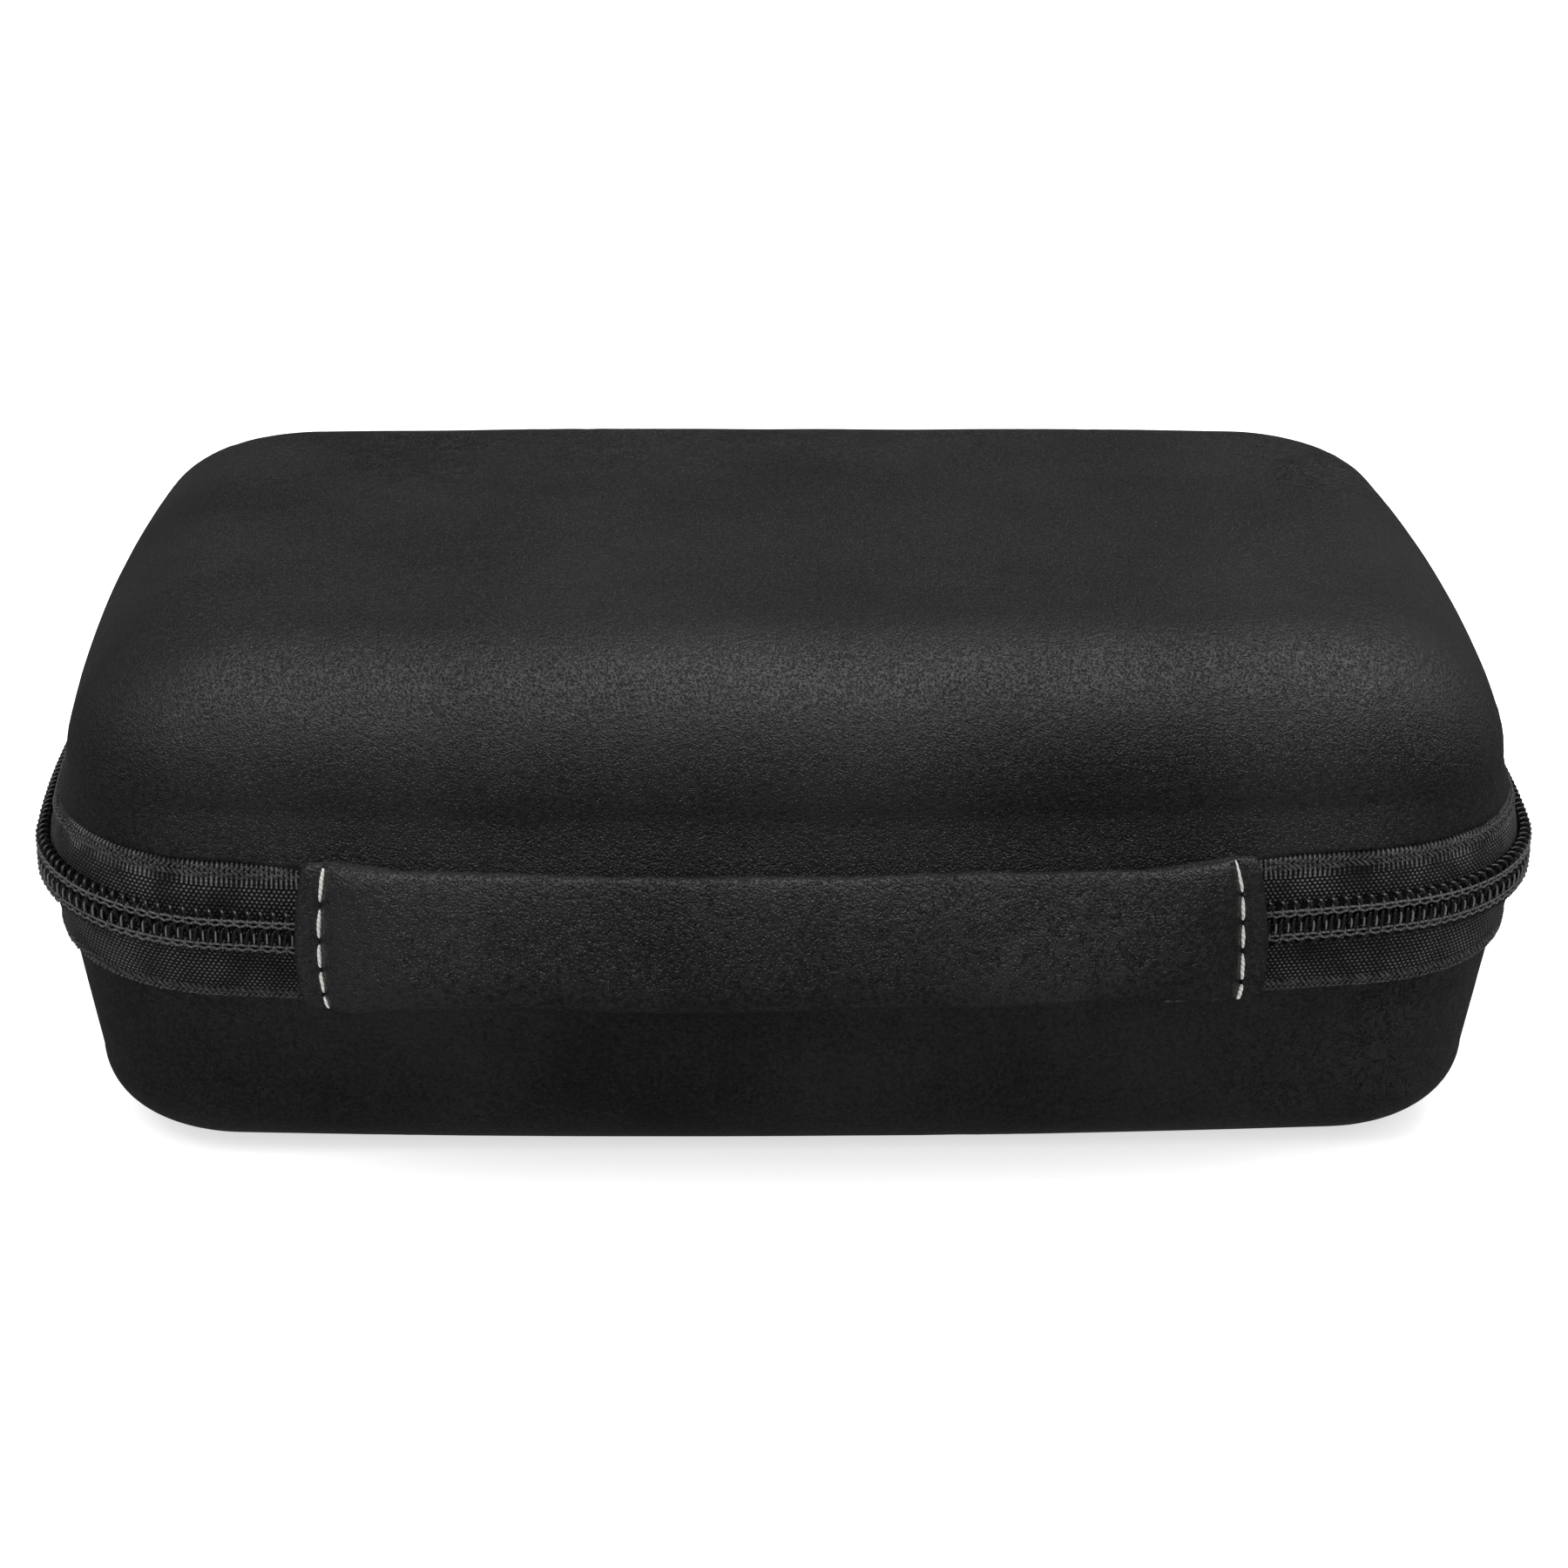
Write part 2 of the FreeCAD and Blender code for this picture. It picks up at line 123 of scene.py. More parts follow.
class CaseColours(bpy.types.PropertyGroup):
    """Colours of the case's materials."""
    leather: colour("Leather", "Shells' synthetic leather", (0.0098, 0.0098, 0.0101))
    handle: colour("Handle", "Handle's synthetic leather", (0.0114, 0.0114, 0.0117))
    tape: colour("Tape", "Dark of the woven zipper tape", (0.0025, 0.0025, 0.0027))
    tape_light: colour("Tape light", "Raised yarns of the zipper tape", (0.165, 0.165, 0.168))
    coil: colour("Coil", "Nylon coil", (0.008, 0.008, 0.0085))
    coil_thread: colour("Coil thread", "Thread that sews the coil on", (0.115, 0.115, 0.118))
    lining: colour("Lining", "Lining of both halves", (0.020, 0.020, 0.022))
    binding: colour("Binding", "Fabric over the rims", (0.014, 0.014, 0.015))
    metal: colour("Metal", "Enamelled sliders and pulls", (0.010, 0.010, 0.011))
    thread: colour("Thread", "Light thread of the handle", (0.80, 0.79, 0.75))
    dark_thread: colour("Dark thread", "Thread of the hidden seams", (0.03, 0.03, 0.032))
    floor: colour("Floor", "Studio floor", (0.93, 0.93, 0.93))


def sizes():
    return bpy.context.scene.case_sizes


def colours():
    return bpy.context.scene.case_colours


# ---------------------------------------------------------------- the rim's outline

def rim_arcs(offset=0.0, tighter=0.0):
    """Eight tangent arcs of the rim moved out by offset: (x, y, radius, start, end)."""
    size = sizes()
    half_width = LID_HIGH.x + offset
    half_depth = LID_HIGH.y + offset
    corner = size.corner + offset - tighter
    front = size.front_bow + offset
    side = size.side_bow + offset
    front_y = front - half_depth
    side_x = half_width - side
    span = math.hypot(side_x, front_y)
    near = front - corner
    far = side - corner
    along = (near ** 2 - far ** 2 + span ** 2) / (2 * span)
    across = math.sqrt(near ** 2 - along ** 2)
    x = (along * side_x + across * front_y) / span
    y = front_y + (across * side_x - along * front_y) / span
    to_front = math.atan2(y - front_y, x)
    to_side = math.atan2(y, x - side_x)
    turn = math.pi
    return [
        (0, -front_y, front, turn / 2, turn + to_front),
        (-x, -y, corner, turn + to_front, turn + to_side),
        (-side_x, 0, side, turn + to_side, turn - to_side),
        (-x, y, corner, turn - to_side, turn - to_front),
        (0, front_y, front, turn - to_front, 2 * turn + to_front),
        (x, y, corner, to_front, to_side),
        (side_x, 0, side, to_side, -to_side),
        (x, -y, corner, -to_side, -to_front),
        (0, -front_y, front, -to_front, turn / 2),
    ]


class Rim:
    """The rim as a path: distance along it from the middle of the back, round by the left."""

    def __init__(self):
        self.arcs = np.array(rim_arcs())
        spans = self.arcs[:, 2] * (self.arcs[:, 4] - self.arcs[:, 3])
        self.ends = np.cumsum(spans)
        self.starts = self.ends - spans
        self.total = self.ends[-1]

    def at(self, along):
        """Point and outward normal of the rim at each distance along it."""
        along = np.asarray(along, float)
        index = np.clip(np.searchsorted(self.ends, along), 0, len(self.arcs) - 1)
        arc = self.arcs[index]
        angle = arc[..., 3] + (along - self.starts[index]) / arc[..., 2]
        normal = np.stack([np.cos(angle), np.sin(angle)], -1)
        return arc[..., :2] + normal * arc[..., 2:3], normal

    def wrap(self, along, out, height):
        """Points at a distance along the rim, out from it, and above the parting plane."""
        point, normal = self.at(along)
        flat = point + normal * np.asarray(out)[..., None]
        z = np.broadcast_to(PARTING + np.asarray(height, float), flat.shape[:-1])
        return np.concatenate([flat, z[..., None]], -1)


def stretch(start, end, step):
    """Evenly spaced distances from start to end."""
    return np.linspace(start, end, max(2, int(round(abs(end - start) / step)) + 1))


# ---------------------------------------------------------------- meshes

def add_object(name, data):
    made = bpy.data.objects.new(name, data)
    bpy.context.scene.collection.objects.link(made)
    return made


def smooth(mesh):
    mesh.polygons.foreach_set("use_smooth", [True] * len(mesh.polygons))


@contextlib.contextmanager
def editing(mesh):
    """The mesh opened for bmesh's tools, and written back at the end."""
    work = bmesh.new()
    work.from_mesh(mesh)
    yield work
    work.to_mesh(mesh)
    work.free()


def new_piece(name, points, faces, material, uv=None):
    mesh = bpy.data.meshes.new(name)
    mesh.from_pydata([tuple(p) for p in points], [], [tuple(f) for f in faces])
    if uv is not None:
        layer = mesh.uv_layers.new(name="UVMap")
        corner = np.zeros(len(mesh.loops), np.int32)
        mesh.loops.foreach_get("vertex_index", corner)
        layer.data.foreach_set("uv", np.asarray(uv, float)[corner].astype(np.float32).ravel())
    smooth(mesh)
    if material:
        mesh.materials.append(material)
    return add_object(name, mesh)


def grid_faces(rows, columns, wrap=False, flip=False):
    """Quads of a grid of rows by columns; wrap joins the last column to the first."""
    faces = []
    for row in range(rows - 1):
        for column in range(columns if wrap else columns - 1):
            after = (column + 1) % columns
            a, b = row * columns + column, row * columns + after
            c, d = a + columns, b + columns
            faces.append((a, c, d, b) if flip else (a, b, d, c))
    return faces


def clean(piece, distance=1e-6):
    """Merge doubled vertices and drop the faces that collapse."""
    with editing(piece.data) as work:
        bmesh.ops.remove_doubles(work, verts=work.verts, dist=distance)
        bmesh.ops.dissolve_degenerate(work, edges=work.edges, dist=distance / 10)


def outward(piece):
    """Point every face of a closed piece outwards."""
    with editing(piece.data) as work:
        bmesh.ops.recalc_face_normals(work, faces=work.faces)


def apply_modifiers(piece):
    graph = bpy.context.evaluated_depsgraph_get()
    mesh = bpy.data.meshes.new_from_object(piece.evaluated_get(graph))
    piece.modifiers.clear()
    piece.data = mesh
    return piece


def bevelled(piece, width, segments=3):
    modifier = piece.modifiers.new("bevel", "BEVEL")
    modifier.width = width
    modifier.segments = segments
    modifier.limit_method = "ANGLE"
    modifier.angle_limit = math.radians(35)
    return apply_modifiers(piece)


SAG = 1.6                     # mm the band runs low at the middle of the front
TILT = 0.0106                 # its rise to the right, in mm per mm
CURL = 0.000304               # its rise to both corners, in mm per square mm
HIGHEST = 2.2                 # mm it may run high
SETTLED_HEIGHT = 17 * MM      # how far from the parting plane the shift dies out
HIDDEN_DROP = 2.7 * MM        # how far the lid's edge comes down behind the handle
HIDDEN_PUSH = 1.3 * MM        # and how far out over the tape
BRAID_TUCK = 1.2 * MM         # how far the tape's braid is pressed in there


def settle(piece):
    """Let the band run a little low at the middle of the front and high at the right corner."""
    places = np.array([v.co for v in piece.data.vertices])
    x = places[:, 0] / MM
    shift = np.clip(-SAG + TILT * x + CURL * x * x, None, HIGHEST) * MM
    front = np.clip((10 * MM - places[:, 1]) / (50 * MM), 0, 1)
    front = front * front * (3 - 2 * front)
    near = np.exp(-((places[:, 2] - PARTING) / SETTLED_HEIGHT) ** 2)
    places[:, 2] += shift * front * near
    behind = np.clip(1.25 - (x + 3) ** 2 / 5600, 0, 1) * front
    if piece.name.startswith("lid_selvedge"):
        places[:, 1] += BRAID_TUCK * behind
    if piece.name.startswith("lid_leather"):
        rise = (places[:, 2] - PARTING) / MM
        edge = np.exp(-(np.clip(rise - 11, 0, None) / 5) ** 2) * (rise > 0)
        places[:, 1] -= HIDDEN_PUSH * behind * edge ** 2
        places[:, 2] -= HIDDEN_DROP * behind * edge
    piece.data.vertices.foreach_set("co", places.ravel())
    piece.data.update()


SETTLED = ("shell_leather", "zipper_tape", "zipper_coil", "webbing")


def finish_piece(piece, body, slot, replaces=()):
    if slot in SETTLED:
        settle(piece)
    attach(piece, body)
    if replaces:
        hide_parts(*replaces)
    return piece


# ---------------------------------------------------------------- materials

class Recipe:
    """A material under construction, with short ways to add and join its nodes."""

    def __init__(self, name, colour_value, roughness, specular):
        self.material = bpy.data.materials.new(name)
        self.material.use_nodes = True
        self.tree = self.material.node_tree
        self.shader = self.tree.nodes["Principled BSDF"]
        self.shader.inputs["Base Color"].default_value = (*colour_value, 1)
        self.shader.inputs["Roughness"].default_value = roughness
        self.shader.inputs["Specular IOR Level"].default_value = specular
        self.place = self.node("ShaderNodeTexCoord").outputs["Object"]

    def node(self, kind, **settings):
        made = self.tree.nodes.new(kind)
        for key, value in settings.items():
            setattr(made, key, value)
        return made

    def join(self, source, target):
        self.tree.links.new(source, target)

    def fill(self, node, values):
        for key, value in values.items():
            if isinstance(value, bpy.types.NodeSocket):
                self.join(value, node.inputs[key])
            else:
                node.inputs[key].default_value = value
        return node

    def noise(self, scale, detail=2.0, rough=0.5, distortion=0.0, place=None):
        made = self.fill(self.node("ShaderNodeTexNoise"), {
            "Vector": place or self.place, "Scale": scale, "Detail": detail,
            "Roughness": rough, "Distortion": distortion})
        return made.outputs["Fac"]

    def cells(self, scale, place=None):
        made = self.node("ShaderNodeTexVoronoi", feature="F1")
        self.fill(made, {"Vector": place or self.place, "Scale": scale, "Randomness": 1.0})
        return made.outputs["Distance"]

    def warped(self, scale, amount):
        """Object coordinates pushed about by noise, so that patterns don't look ruled."""
        push = self.fill(self.node("ShaderNodeTexNoise"), {"Vector": self.place, "Scale": scale})
        centred = self.vector("SUBTRACT", push.outputs["Color"], (0.5, 0.5, 0.5))
        scaled = self.node("ShaderNodeVectorMath", operation="SCALE")
        self.fill(scaled, {0: centred, "Scale": amount})
        return self.vector("ADD", self.place, scaled.outputs[0])

    def vector(self, operation, first, second):
        return self.fill(self.node("ShaderNodeVectorMath", operation=operation),
                         {0: first, 1: second}).outputs[0]

    def math(self, operation, first, second=0.0):
        made = self.node("ShaderNodeMath", operation=operation)
        return self.fill(made, {0: first, 1: second}).outputs[0]

    def product(self, first, second):
        return self.math("MULTIPLY", first, second)

    def total(self, first, second):
        return self.math("ADD", first, second)

    def spread(self, value, low, high, to_low=0.0, to_high=1.0):
        made = self.node("ShaderNodeMapRange", interpolation_type="SMOOTHSTEP")
        return self.fill(made, {"Value": value, "From Min": low, "From Max": high,
                                "To Min": to_low, "To Max": to_high}).outputs["Result"]

    def tint(self, factor, first, second):
        made = self.node("ShaderNodeMix", data_type="RGBA")
        made.inputs[6].default_value = (*first, 1)
        made.inputs[7].default_value = (*second, 1)
        self.join(factor, made.inputs[0])
        self.join(made.outputs[2], self.shader.inputs["Base Color"])

    def rough(self, value):
        self.join(value, self.shader.inputs["Roughness"])

    def bump(self, height, distance, strength, below=None):
        made = self.node("ShaderNodeBump")
        self.fill(made, {"Height": height, "Distance": distance, "Strength": strength})
        if below:
            self.join(below, made.inputs["Normal"])
        return made.outputs["Normal"]

    def normal(self, source):
        self.join(source, self.shader.inputs["Normal"])
        return self.material


def scaled(colour_value, factor):
    return tuple(min(1.0, channel * factor) for channel in colour_value)


LEATHER_SHINE = 0.36


def leather(name, colour_value, creased, grain=1.0, folds=0.0007, depth=0.00028):
    """Fine-grained synthetic leather. It is creased near each (place, reach), as worn leather is, and
    its creases carry a painted highlight in the colour.
    """
    recipe = Recipe(name, colour_value, LEATHER_SHINE, 0.6)
    near = 0.0
    for place, reach in creased:
        away = recipe.node("ShaderNodeVectorMath", operation="DISTANCE")
        recipe.fill(away, {0: recipe.place, 1: [v * MM for v in place]})
        inside = recipe.spread(away.outputs["Value"], 0.2 * reach * MM, reach * MM, 1.0, 0.0)
        near = recipe.math("MAXIMUM", near, inside)
    patchy = recipe.product(near, recipe.spread(recipe.noise(75, 3.0, 0.6), 0.38, 0.62))
    crinkle = recipe.noise(300, 3.0, 0.6, 1.0, recipe.warped(90, 0.012))
    crease = recipe.spread(recipe.math("ABSOLUTE", recipe.math("SUBTRACT", crinkle, 0.5)),
                           0.0, 0.045)
    crease = recipe.product(crease, patchy)
    pebbles = recipe.spread(recipe.cells(2700 * grain, place=recipe.warped(800, 0.0008)), 0.08, 0.6)
    mottle = recipe.noise(1500 * grain, 3.0, 0.7)
    fine = recipe.total(recipe.product(pebbles, 0.45), mottle)
    swell = recipe.bump(recipe.noise(110, 3.0, 0.55), 0.0010, 0.16)
    folded = recipe.bump(crease, folds, 0.9, swell)
    top = recipe.bump(fine, depth, 0.9, folded)
    cloudy = recipe.noise(22, 3.0, 0.55)
    shade = recipe.total(recipe.product(cloudy, 0.6), recipe.product(mottle, 0.8))
    # The creases are also tinted lighter: a painted highlight along their edges, on top of the real
    # crease bumps.
    shade = recipe.total(shade, recipe.product(crease, 0.12))
    recipe.tint(recipe.spread(shade, 0.5, 0.9), scaled(colour_value, 0.3),
                scaled(colour_value, 1.8))
    recipe.rough(recipe.spread(recipe.total(mottle, cloudy), 0.7, 1.3,
                               LEATHER_SHINE + 0.06, LEATHER_SHINE - 0.06))
    return recipe.normal(top)


def woven(name, dark, light, across, down, stagger=0.5, ribs=99.0):
    """Woven yarns on the piece's own UV map, in millimetres; they run together past ribs."""
    recipe = Recipe(name, dark, 0.62, 0.35)
    uv = recipe.node("ShaderNodeUVMap", uv_map="UVMap").outputs[0]
    wander = recipe.product(recipe.noise(420, 2.0, 0.5), 0.5)
    parts = recipe.node("ShaderNodeSeparateXYZ")
    recipe.join(uv, parts.inputs[0])
    rows = recipe.product(parts.outputs[1], 1 / (down * MM))
    rows = recipe.total(rows, wander)
    row = recipe.math("FLOOR", rows)
    columns = recipe.product(parts.outputs[0], 1 / (across * MM))
    ribbed = recipe.spread(parts.outputs[1], ribs * MM, (ribs + 1.2) * MM)
    odd = recipe.math("FRACT", recipe.product(row, 0.5))
    shift = recipe.product(odd, recipe.product(2 * stagger,
                                                     recipe.math("SUBTRACT", 1.0, ribbed)))
    columns = recipe.total(columns, recipe.total(shift, wander))
    bulge_u = recipe.math("SINE", recipe.math("MULTIPLY",
                                              recipe.math("FRACT", columns), math.pi))
    bulge_v = recipe.math("SINE", recipe.product(recipe.math("FRACT", rows), math.pi))
    bulge_v = recipe.math("MAXIMUM", bulge_v, recipe.product(ribbed, 0.82))
    yarn = recipe.math("POWER", recipe.product(bulge_u, bulge_v), 1.15)
    hairs = recipe.noise(5200, 2.0, 0.6)
    patch = recipe.noise(140, 2.0, 0.5)
    glow = recipe.product(yarn, recipe.spread(
        recipe.total(hairs, patch), 0.7, 1.3, 0.45, 1.0))
    recipe.tint(recipe.spread(glow, 0.32, 0.82), dark, light)
    recipe.shader.inputs["Sheen Weight"].default_value = 0.05
    recipe.shader.inputs["Sheen Roughness"].default_value = 0.5
    weave = recipe.bump(yarn, 0.00032, 0.9)
    return recipe.normal(recipe.bump(hairs, 0.00004, 0.5, weave))


def nylon(name, colour_value, shine):
    """Smooth moulded nylon with the faint streaks of drawn wire."""
    recipe = Recipe(name, colour_value, shine, 0.7)
    streaks = recipe.noise(2600, 2.0, 0.5)
    recipe.rough(recipe.spread(streaks, 0.3, 0.7, shine - 0.05, shine + 0.1))
    recipe.tint(recipe.noise(500), scaled(colour_value, 0.8), scaled(colour_value, 1.4))
    return recipe.normal(recipe.bump(streaks, 0.00001, 0.4))


def thread(name, colour_value, shade=0.55):
    """Twisted sewing thread."""
    recipe = Recipe(name, colour_value, 0.55, 0.4)
    twist = recipe.node("ShaderNodeTexWave", wave_type="BANDS", bands_direction="DIAGONAL")
    recipe.fill(twist, {"Vector": recipe.place, "Scale": 700, "Distortion": 1.5,
                        "Detail": 2.0, "Detail Scale": 3.0})
    ply = twist.outputs["Fac"]
    fluff = recipe.noise(6000, 2.0, 0.6)
    mixed = recipe.total(ply, recipe.product(fluff, 0.5))
    recipe.tint(recipe.spread(mixed, 0.2, 1.2), scaled(colour_value, shade), colour_value)
    recipe.shader.inputs["Sheen Weight"].default_value = 0.15
    return recipe.normal(recipe.bump(mixed, 0.00008, 0.6))


def velvet(name, colour_value):
    """Short brushed pile of the lining, stroked light and dark."""
    recipe = Recipe(name, colour_value, 0.9, 0.2)
    pile = recipe.noise(2800, 3.0, 0.7)
    stroke = recipe.noise(26, 4.0, 0.6, 0.8)
    recipe.tint(recipe.spread(recipe.total(stroke, recipe.product(pile, 0.7)),
                              0.4, 1.3), scaled(colour_value, 0.7), scaled(colour_value, 1.8))
    recipe.shader.inputs["Sheen Weight"].default_value = 0.35
    recipe.shader.inputs["Sheen Roughness"].default_value = 0.35
    return recipe.normal(recipe.bump(pile, 0.00025, 0.7, recipe.bump(stroke, 0.0006, 0.3)))


def enamel(name, colour_value):
    """Black enamelled die-cast metal, a little dull where it is handled."""
    recipe = Recipe(name, colour_value, 0.3, 0.5)
    recipe.shader.inputs["Metallic"].default_value = 0.6
    handled = recipe.noise(160, 3.0, 0.6)
    specks = recipe.noise(2400, 2.0, 0.5)
    recipe.rough(recipe.spread(handled, 0.35, 0.7, 0.22, 0.45))
    recipe.tint(recipe.spread(recipe.total(handled, specks), 0.8, 1.3),
                colour_value, scaled(colour_value, 3.2))
    return recipe.normal(recipe.bump(specks, 0.00002, 0.5))


def foam(name, colour_value):
    """Cut edge of closed-cell foam."""
    recipe = Recipe(name, colour_value, 0.85, 0.25)
    pores = recipe.spread(recipe.cells(2600), 0.1, 0.5)
    recipe.tint(pores, scaled(colour_value, 0.5), colour_value)
    return recipe.normal(recipe.bump(pores, 0.00012, 0.7))


# Places in millimetres where the leather has creased, each with how far the creases reach.
SHELL_CREASES = (((-62, 44, 88), 34), ((-28, 50, 88), 38), ((6, 56, 88), 28), ((98, 30, 84), 24),
                 ((40, 58, 88), 22),
                 ((84, 58, 86), 18), ((92, -66, 24), 30), ((112, -40, 18), 26), ((48, -76, 18), 12))
HANDLE_CREASES = (((38, -86, 46), 19), ((24, -86, 52), 12), ((52, -86, 48), 14),
                  ((-58, -86, 50), 12), ((-16, -86, 56), 10))
MATERIALS = {}


def material(name):
    """Each material of the case, made once."""
    if name not in MATERIALS:
        c = colours()
        makers = {
            "shell_leather": lambda: leather("shell_leather", c.leather, SHELL_CREASES),
            "handle_leather": lambda: leather("handle_leather", c.handle, HANDLE_CREASES, 0.8,
                                              folds=0.0006, depth=0.00042),
            "zipper_tape": lambda: woven("zipper_tape", c.tape, c.tape_light, 0.78, 0.62,
                                         ribs=5.6),
            # Lower tape: the same weave with its yarns painted darker, as painted shade on the lower
            # half of the zipper.
            "base_tape": lambda: woven("base_tape", c.tape, scaled(c.tape_light, 0.7), 0.78, 0.62),
            "selvedge": lambda: thread("selvedge", scaled(c.tape_light, 0.36), 0.25),
            "coil": lambda: nylon("coil", c.coil, 0.24),
            # Light nylon for the painted highlight bars on the coil heads.
            "coil_ridge": lambda: nylon("coil_ridge", scaled(c.coil, 16), 0.3),
            "coil_thread": lambda: thread("coil_thread", c.coil_thread, 0.4),
            "lining": lambda: velvet("lining", c.lining),
            "binding": lambda: woven("binding", c.binding, scaled(c.binding, 3), 0.9, 0.45, 0.0),
            "hinge": lambda: woven("hinge", c.binding, scaled(c.binding, 3.6), 0.6, 1.1, 0.5),
            "webbing": lambda: woven("webbing", c.binding, scaled(c.binding, 3), 1.6, 1.1, 0.5),
            "metal": lambda: enamel("metal", c.metal),
            "thread": lambda: thread("thread", c.thread, 0.62),
            "dark_thread": lambda: thread("dark_thread", c.dark_thread),
            "foam": lambda: foam("foam", c.binding),
            # Near-black plug colour: painted shade inside the handle's needle holes.
            "hole": lambda: foam("hole", scaled(c.binding, 0.1)),
        }
        MATERIALS[name] = makers[name]()
    return MATERIALS[name]


# ---------------------------------------------------------------- repeats along a path

def socket(tree, name, kind, way="INPUT", default=None):
    made = tree.interface.new_socket(name=name, in_out=way, socket_type=kind)
    if default is not None:
        made.default_value = default
    return made


def repeat_tree():
    """Node tree that sets a small piece at an even pitch along a path and joins them up."""
    tree = bpy.data.node_groups.new("repeat_along_path", "GeometryNodeTree")
    socket(tree, "Geometry", "NodeSocketGeometry", "OUTPUT")
    socket(tree, "Path", "NodeSocketGeometry")
    socket(tree, "Item", "NodeSocketObject")
    socket(tree, "Pitch", "NodeSocketFloat", default=0.002)
    socket(tree, "Unevenness", "NodeSocketFloat", default=0.0)
    socket(tree, "Material", "NodeSocketMaterial")
    add = tree.nodes.new
    link = tree.links.new
    given = add("NodeGroupInput")
    curve = add("GeometryNodeMeshToCurve")
    spaced = add("GeometryNodeResampleCurve")
    spaced.mode = "LENGTH"
    item = add("GeometryNodeObjectInfo")
    heading = add("GeometryNodeInputTangent")
    turned = add("FunctionNodeAlignRotationToVector")
    turned.axis = "X"
    turned.pivot_axis = "Z"
    low, high = add("ShaderNodeMath"), add("ShaderNodeMath")
    for limit, operation in ((low, "SUBTRACT"), (high, "ADD")):
        limit.operation = operation
        limit.inputs[0].default_value = 1.0
    uneven = add("FunctionNodeRandomValue")
    uneven.inputs["Seed"].default_value = 7
    placed = add("GeometryNodeInstanceOnPoints")
    real = add("GeometryNodeRealizeInstances")
    painted = add("GeometryNodeSetMaterial")
    result = add("NodeGroupOutput")
    link(given.outputs["Path"], curve.inputs["Mesh"])
    link(curve.outputs["Curve"], spaced.inputs["Curve"])
    link(given.outputs["Pitch"], spaced.inputs["Length"])
    link(given.outputs["Item"], item.inputs["Object"])
    link(spaced.outputs["Curve"], placed.inputs["Points"])
    link(item.outputs["Geometry"], placed.inputs["Instance"])
    link(heading.outputs[0], turned.inputs["Vector"])
    link(turned.outputs[0], placed.inputs["Rotation"])
    link(given.outputs["Unevenness"], low.inputs[1])
    link(given.outputs["Unevenness"], high.inputs[1])
    link(low.outputs[0], uneven.inputs[2])
    link(high.outputs[0], uneven.inputs[3])
    link(uneven.outputs[1], placed.inputs["Scale"])
    link(placed.outputs["Instances"], real.inputs["Geometry"])
    link(real.outputs["Geometry"], painted.inputs["Geometry"])
    link(given.outputs["Material"], painted.inputs["Material"])
    link(painted.outputs["Geometry"], result.inputs["Geometry"])
    return tree


def repeat(name, path, item, pitch, material_name, unevenness=0.0):
    """One plain mesh: item repeated along the points of path. Item: x along, -y out, z up."""
    tree = bpy.data.node_groups.get("repeat_along_path") or repeat_tree()
    carrier = new_piece(name, path, [], None)
    edges = [(index, index + 1) for index in range(len(path) - 1)]
    carrier.data.clear_geometry()
    carrier.data.from_pydata([tuple(p) for p in path], edges, [])
    modifier = carrier.modifiers.new("repeat", "NODES")
    modifier.node_group = tree
    values = {"Item": item, "Pitch": pitch, "Unevenness": unevenness,
              "Material": material(material_name)}
    for entry in tree.interface.items_tree:
        if entry.in_out == "INPUT" and entry.name in values:
            modifier[entry.identifier] = values[entry.name]
    apply_modifiers(carrier)
    smooth(carrier.data)
    bpy.data.objects.remove(item)
    return carrier


def tube(name, points, radii, sides, squeeze=1.0, closed_ends=True):
    """Tube along points; squeeze flattens it. Radii is one number or one for each point."""
    points = [Vector(p) for p in points]
    radii = [radii] * len(points) if isinstance(radii, float) else radii
    rings = []
    side = Vector((0, 0, 1))
    for index, point in enumerate(points):
        ahead = points[min(index + 1, len(points) - 1)] - points[max(index - 1, 0)]
        ahead.normalize()
        side = (side - ahead * side.dot(ahead))
        if side.length < 1e-6:
            side = ahead.orthogonal()
        side.normalize()
        other = ahead.cross(side)
        for corner in range(sides):
            angle = 2 * math.pi * corner / sides
            rings.append(point + (side * math.cos(angle) + other * math.sin(angle) * squeeze)
                         * radii[index])
    faces = grid_faces(len(points), sides, wrap=True)
    if closed_ends:
        faces.append(tuple(reversed(range(sides))))
        last = len(rings) - sides
        faces.append(tuple(range(last, last + sides)))
    piece = new_piece(name, rings, faces, None)
    outward(piece)
    return piece


def joined(pieces, name):
    """Several meshes as one piece."""
    work = bmesh.new()
    for piece in pieces:
        work.from_mesh(piece.data)
    mesh = bpy.data.meshes.new(name)
    work.to_mesh(mesh)
    work.free()
    for piece in pieces:
        bpy.data.objects.remove(piece)
    smooth(mesh)
    return add_object(name, mesh)


# ---------------------------------------------------------------- shells

def shell_columns(step):
    """Arc number and share of the arc for each column round a shell."""
    columns = []
    for number, arc in enumerate(rim_arcs()):
        count = max(4, int(round(arc[2] * (arc[4] - arc[3]) / step)))
        columns += [(number, index / count) for index in range(count)]
    return columns


def shell_ring(columns, offset, tighter, z):
    arcs = rim_arcs(offset, tighter)
    ring = []
    for number, share in columns:
        x, y, radius, start, end = arcs[number]
        angle = start + (end - start) * share
        ring.append((x + radius * math.cos(angle), y + radius * math.sin(angle), z))
    return ring


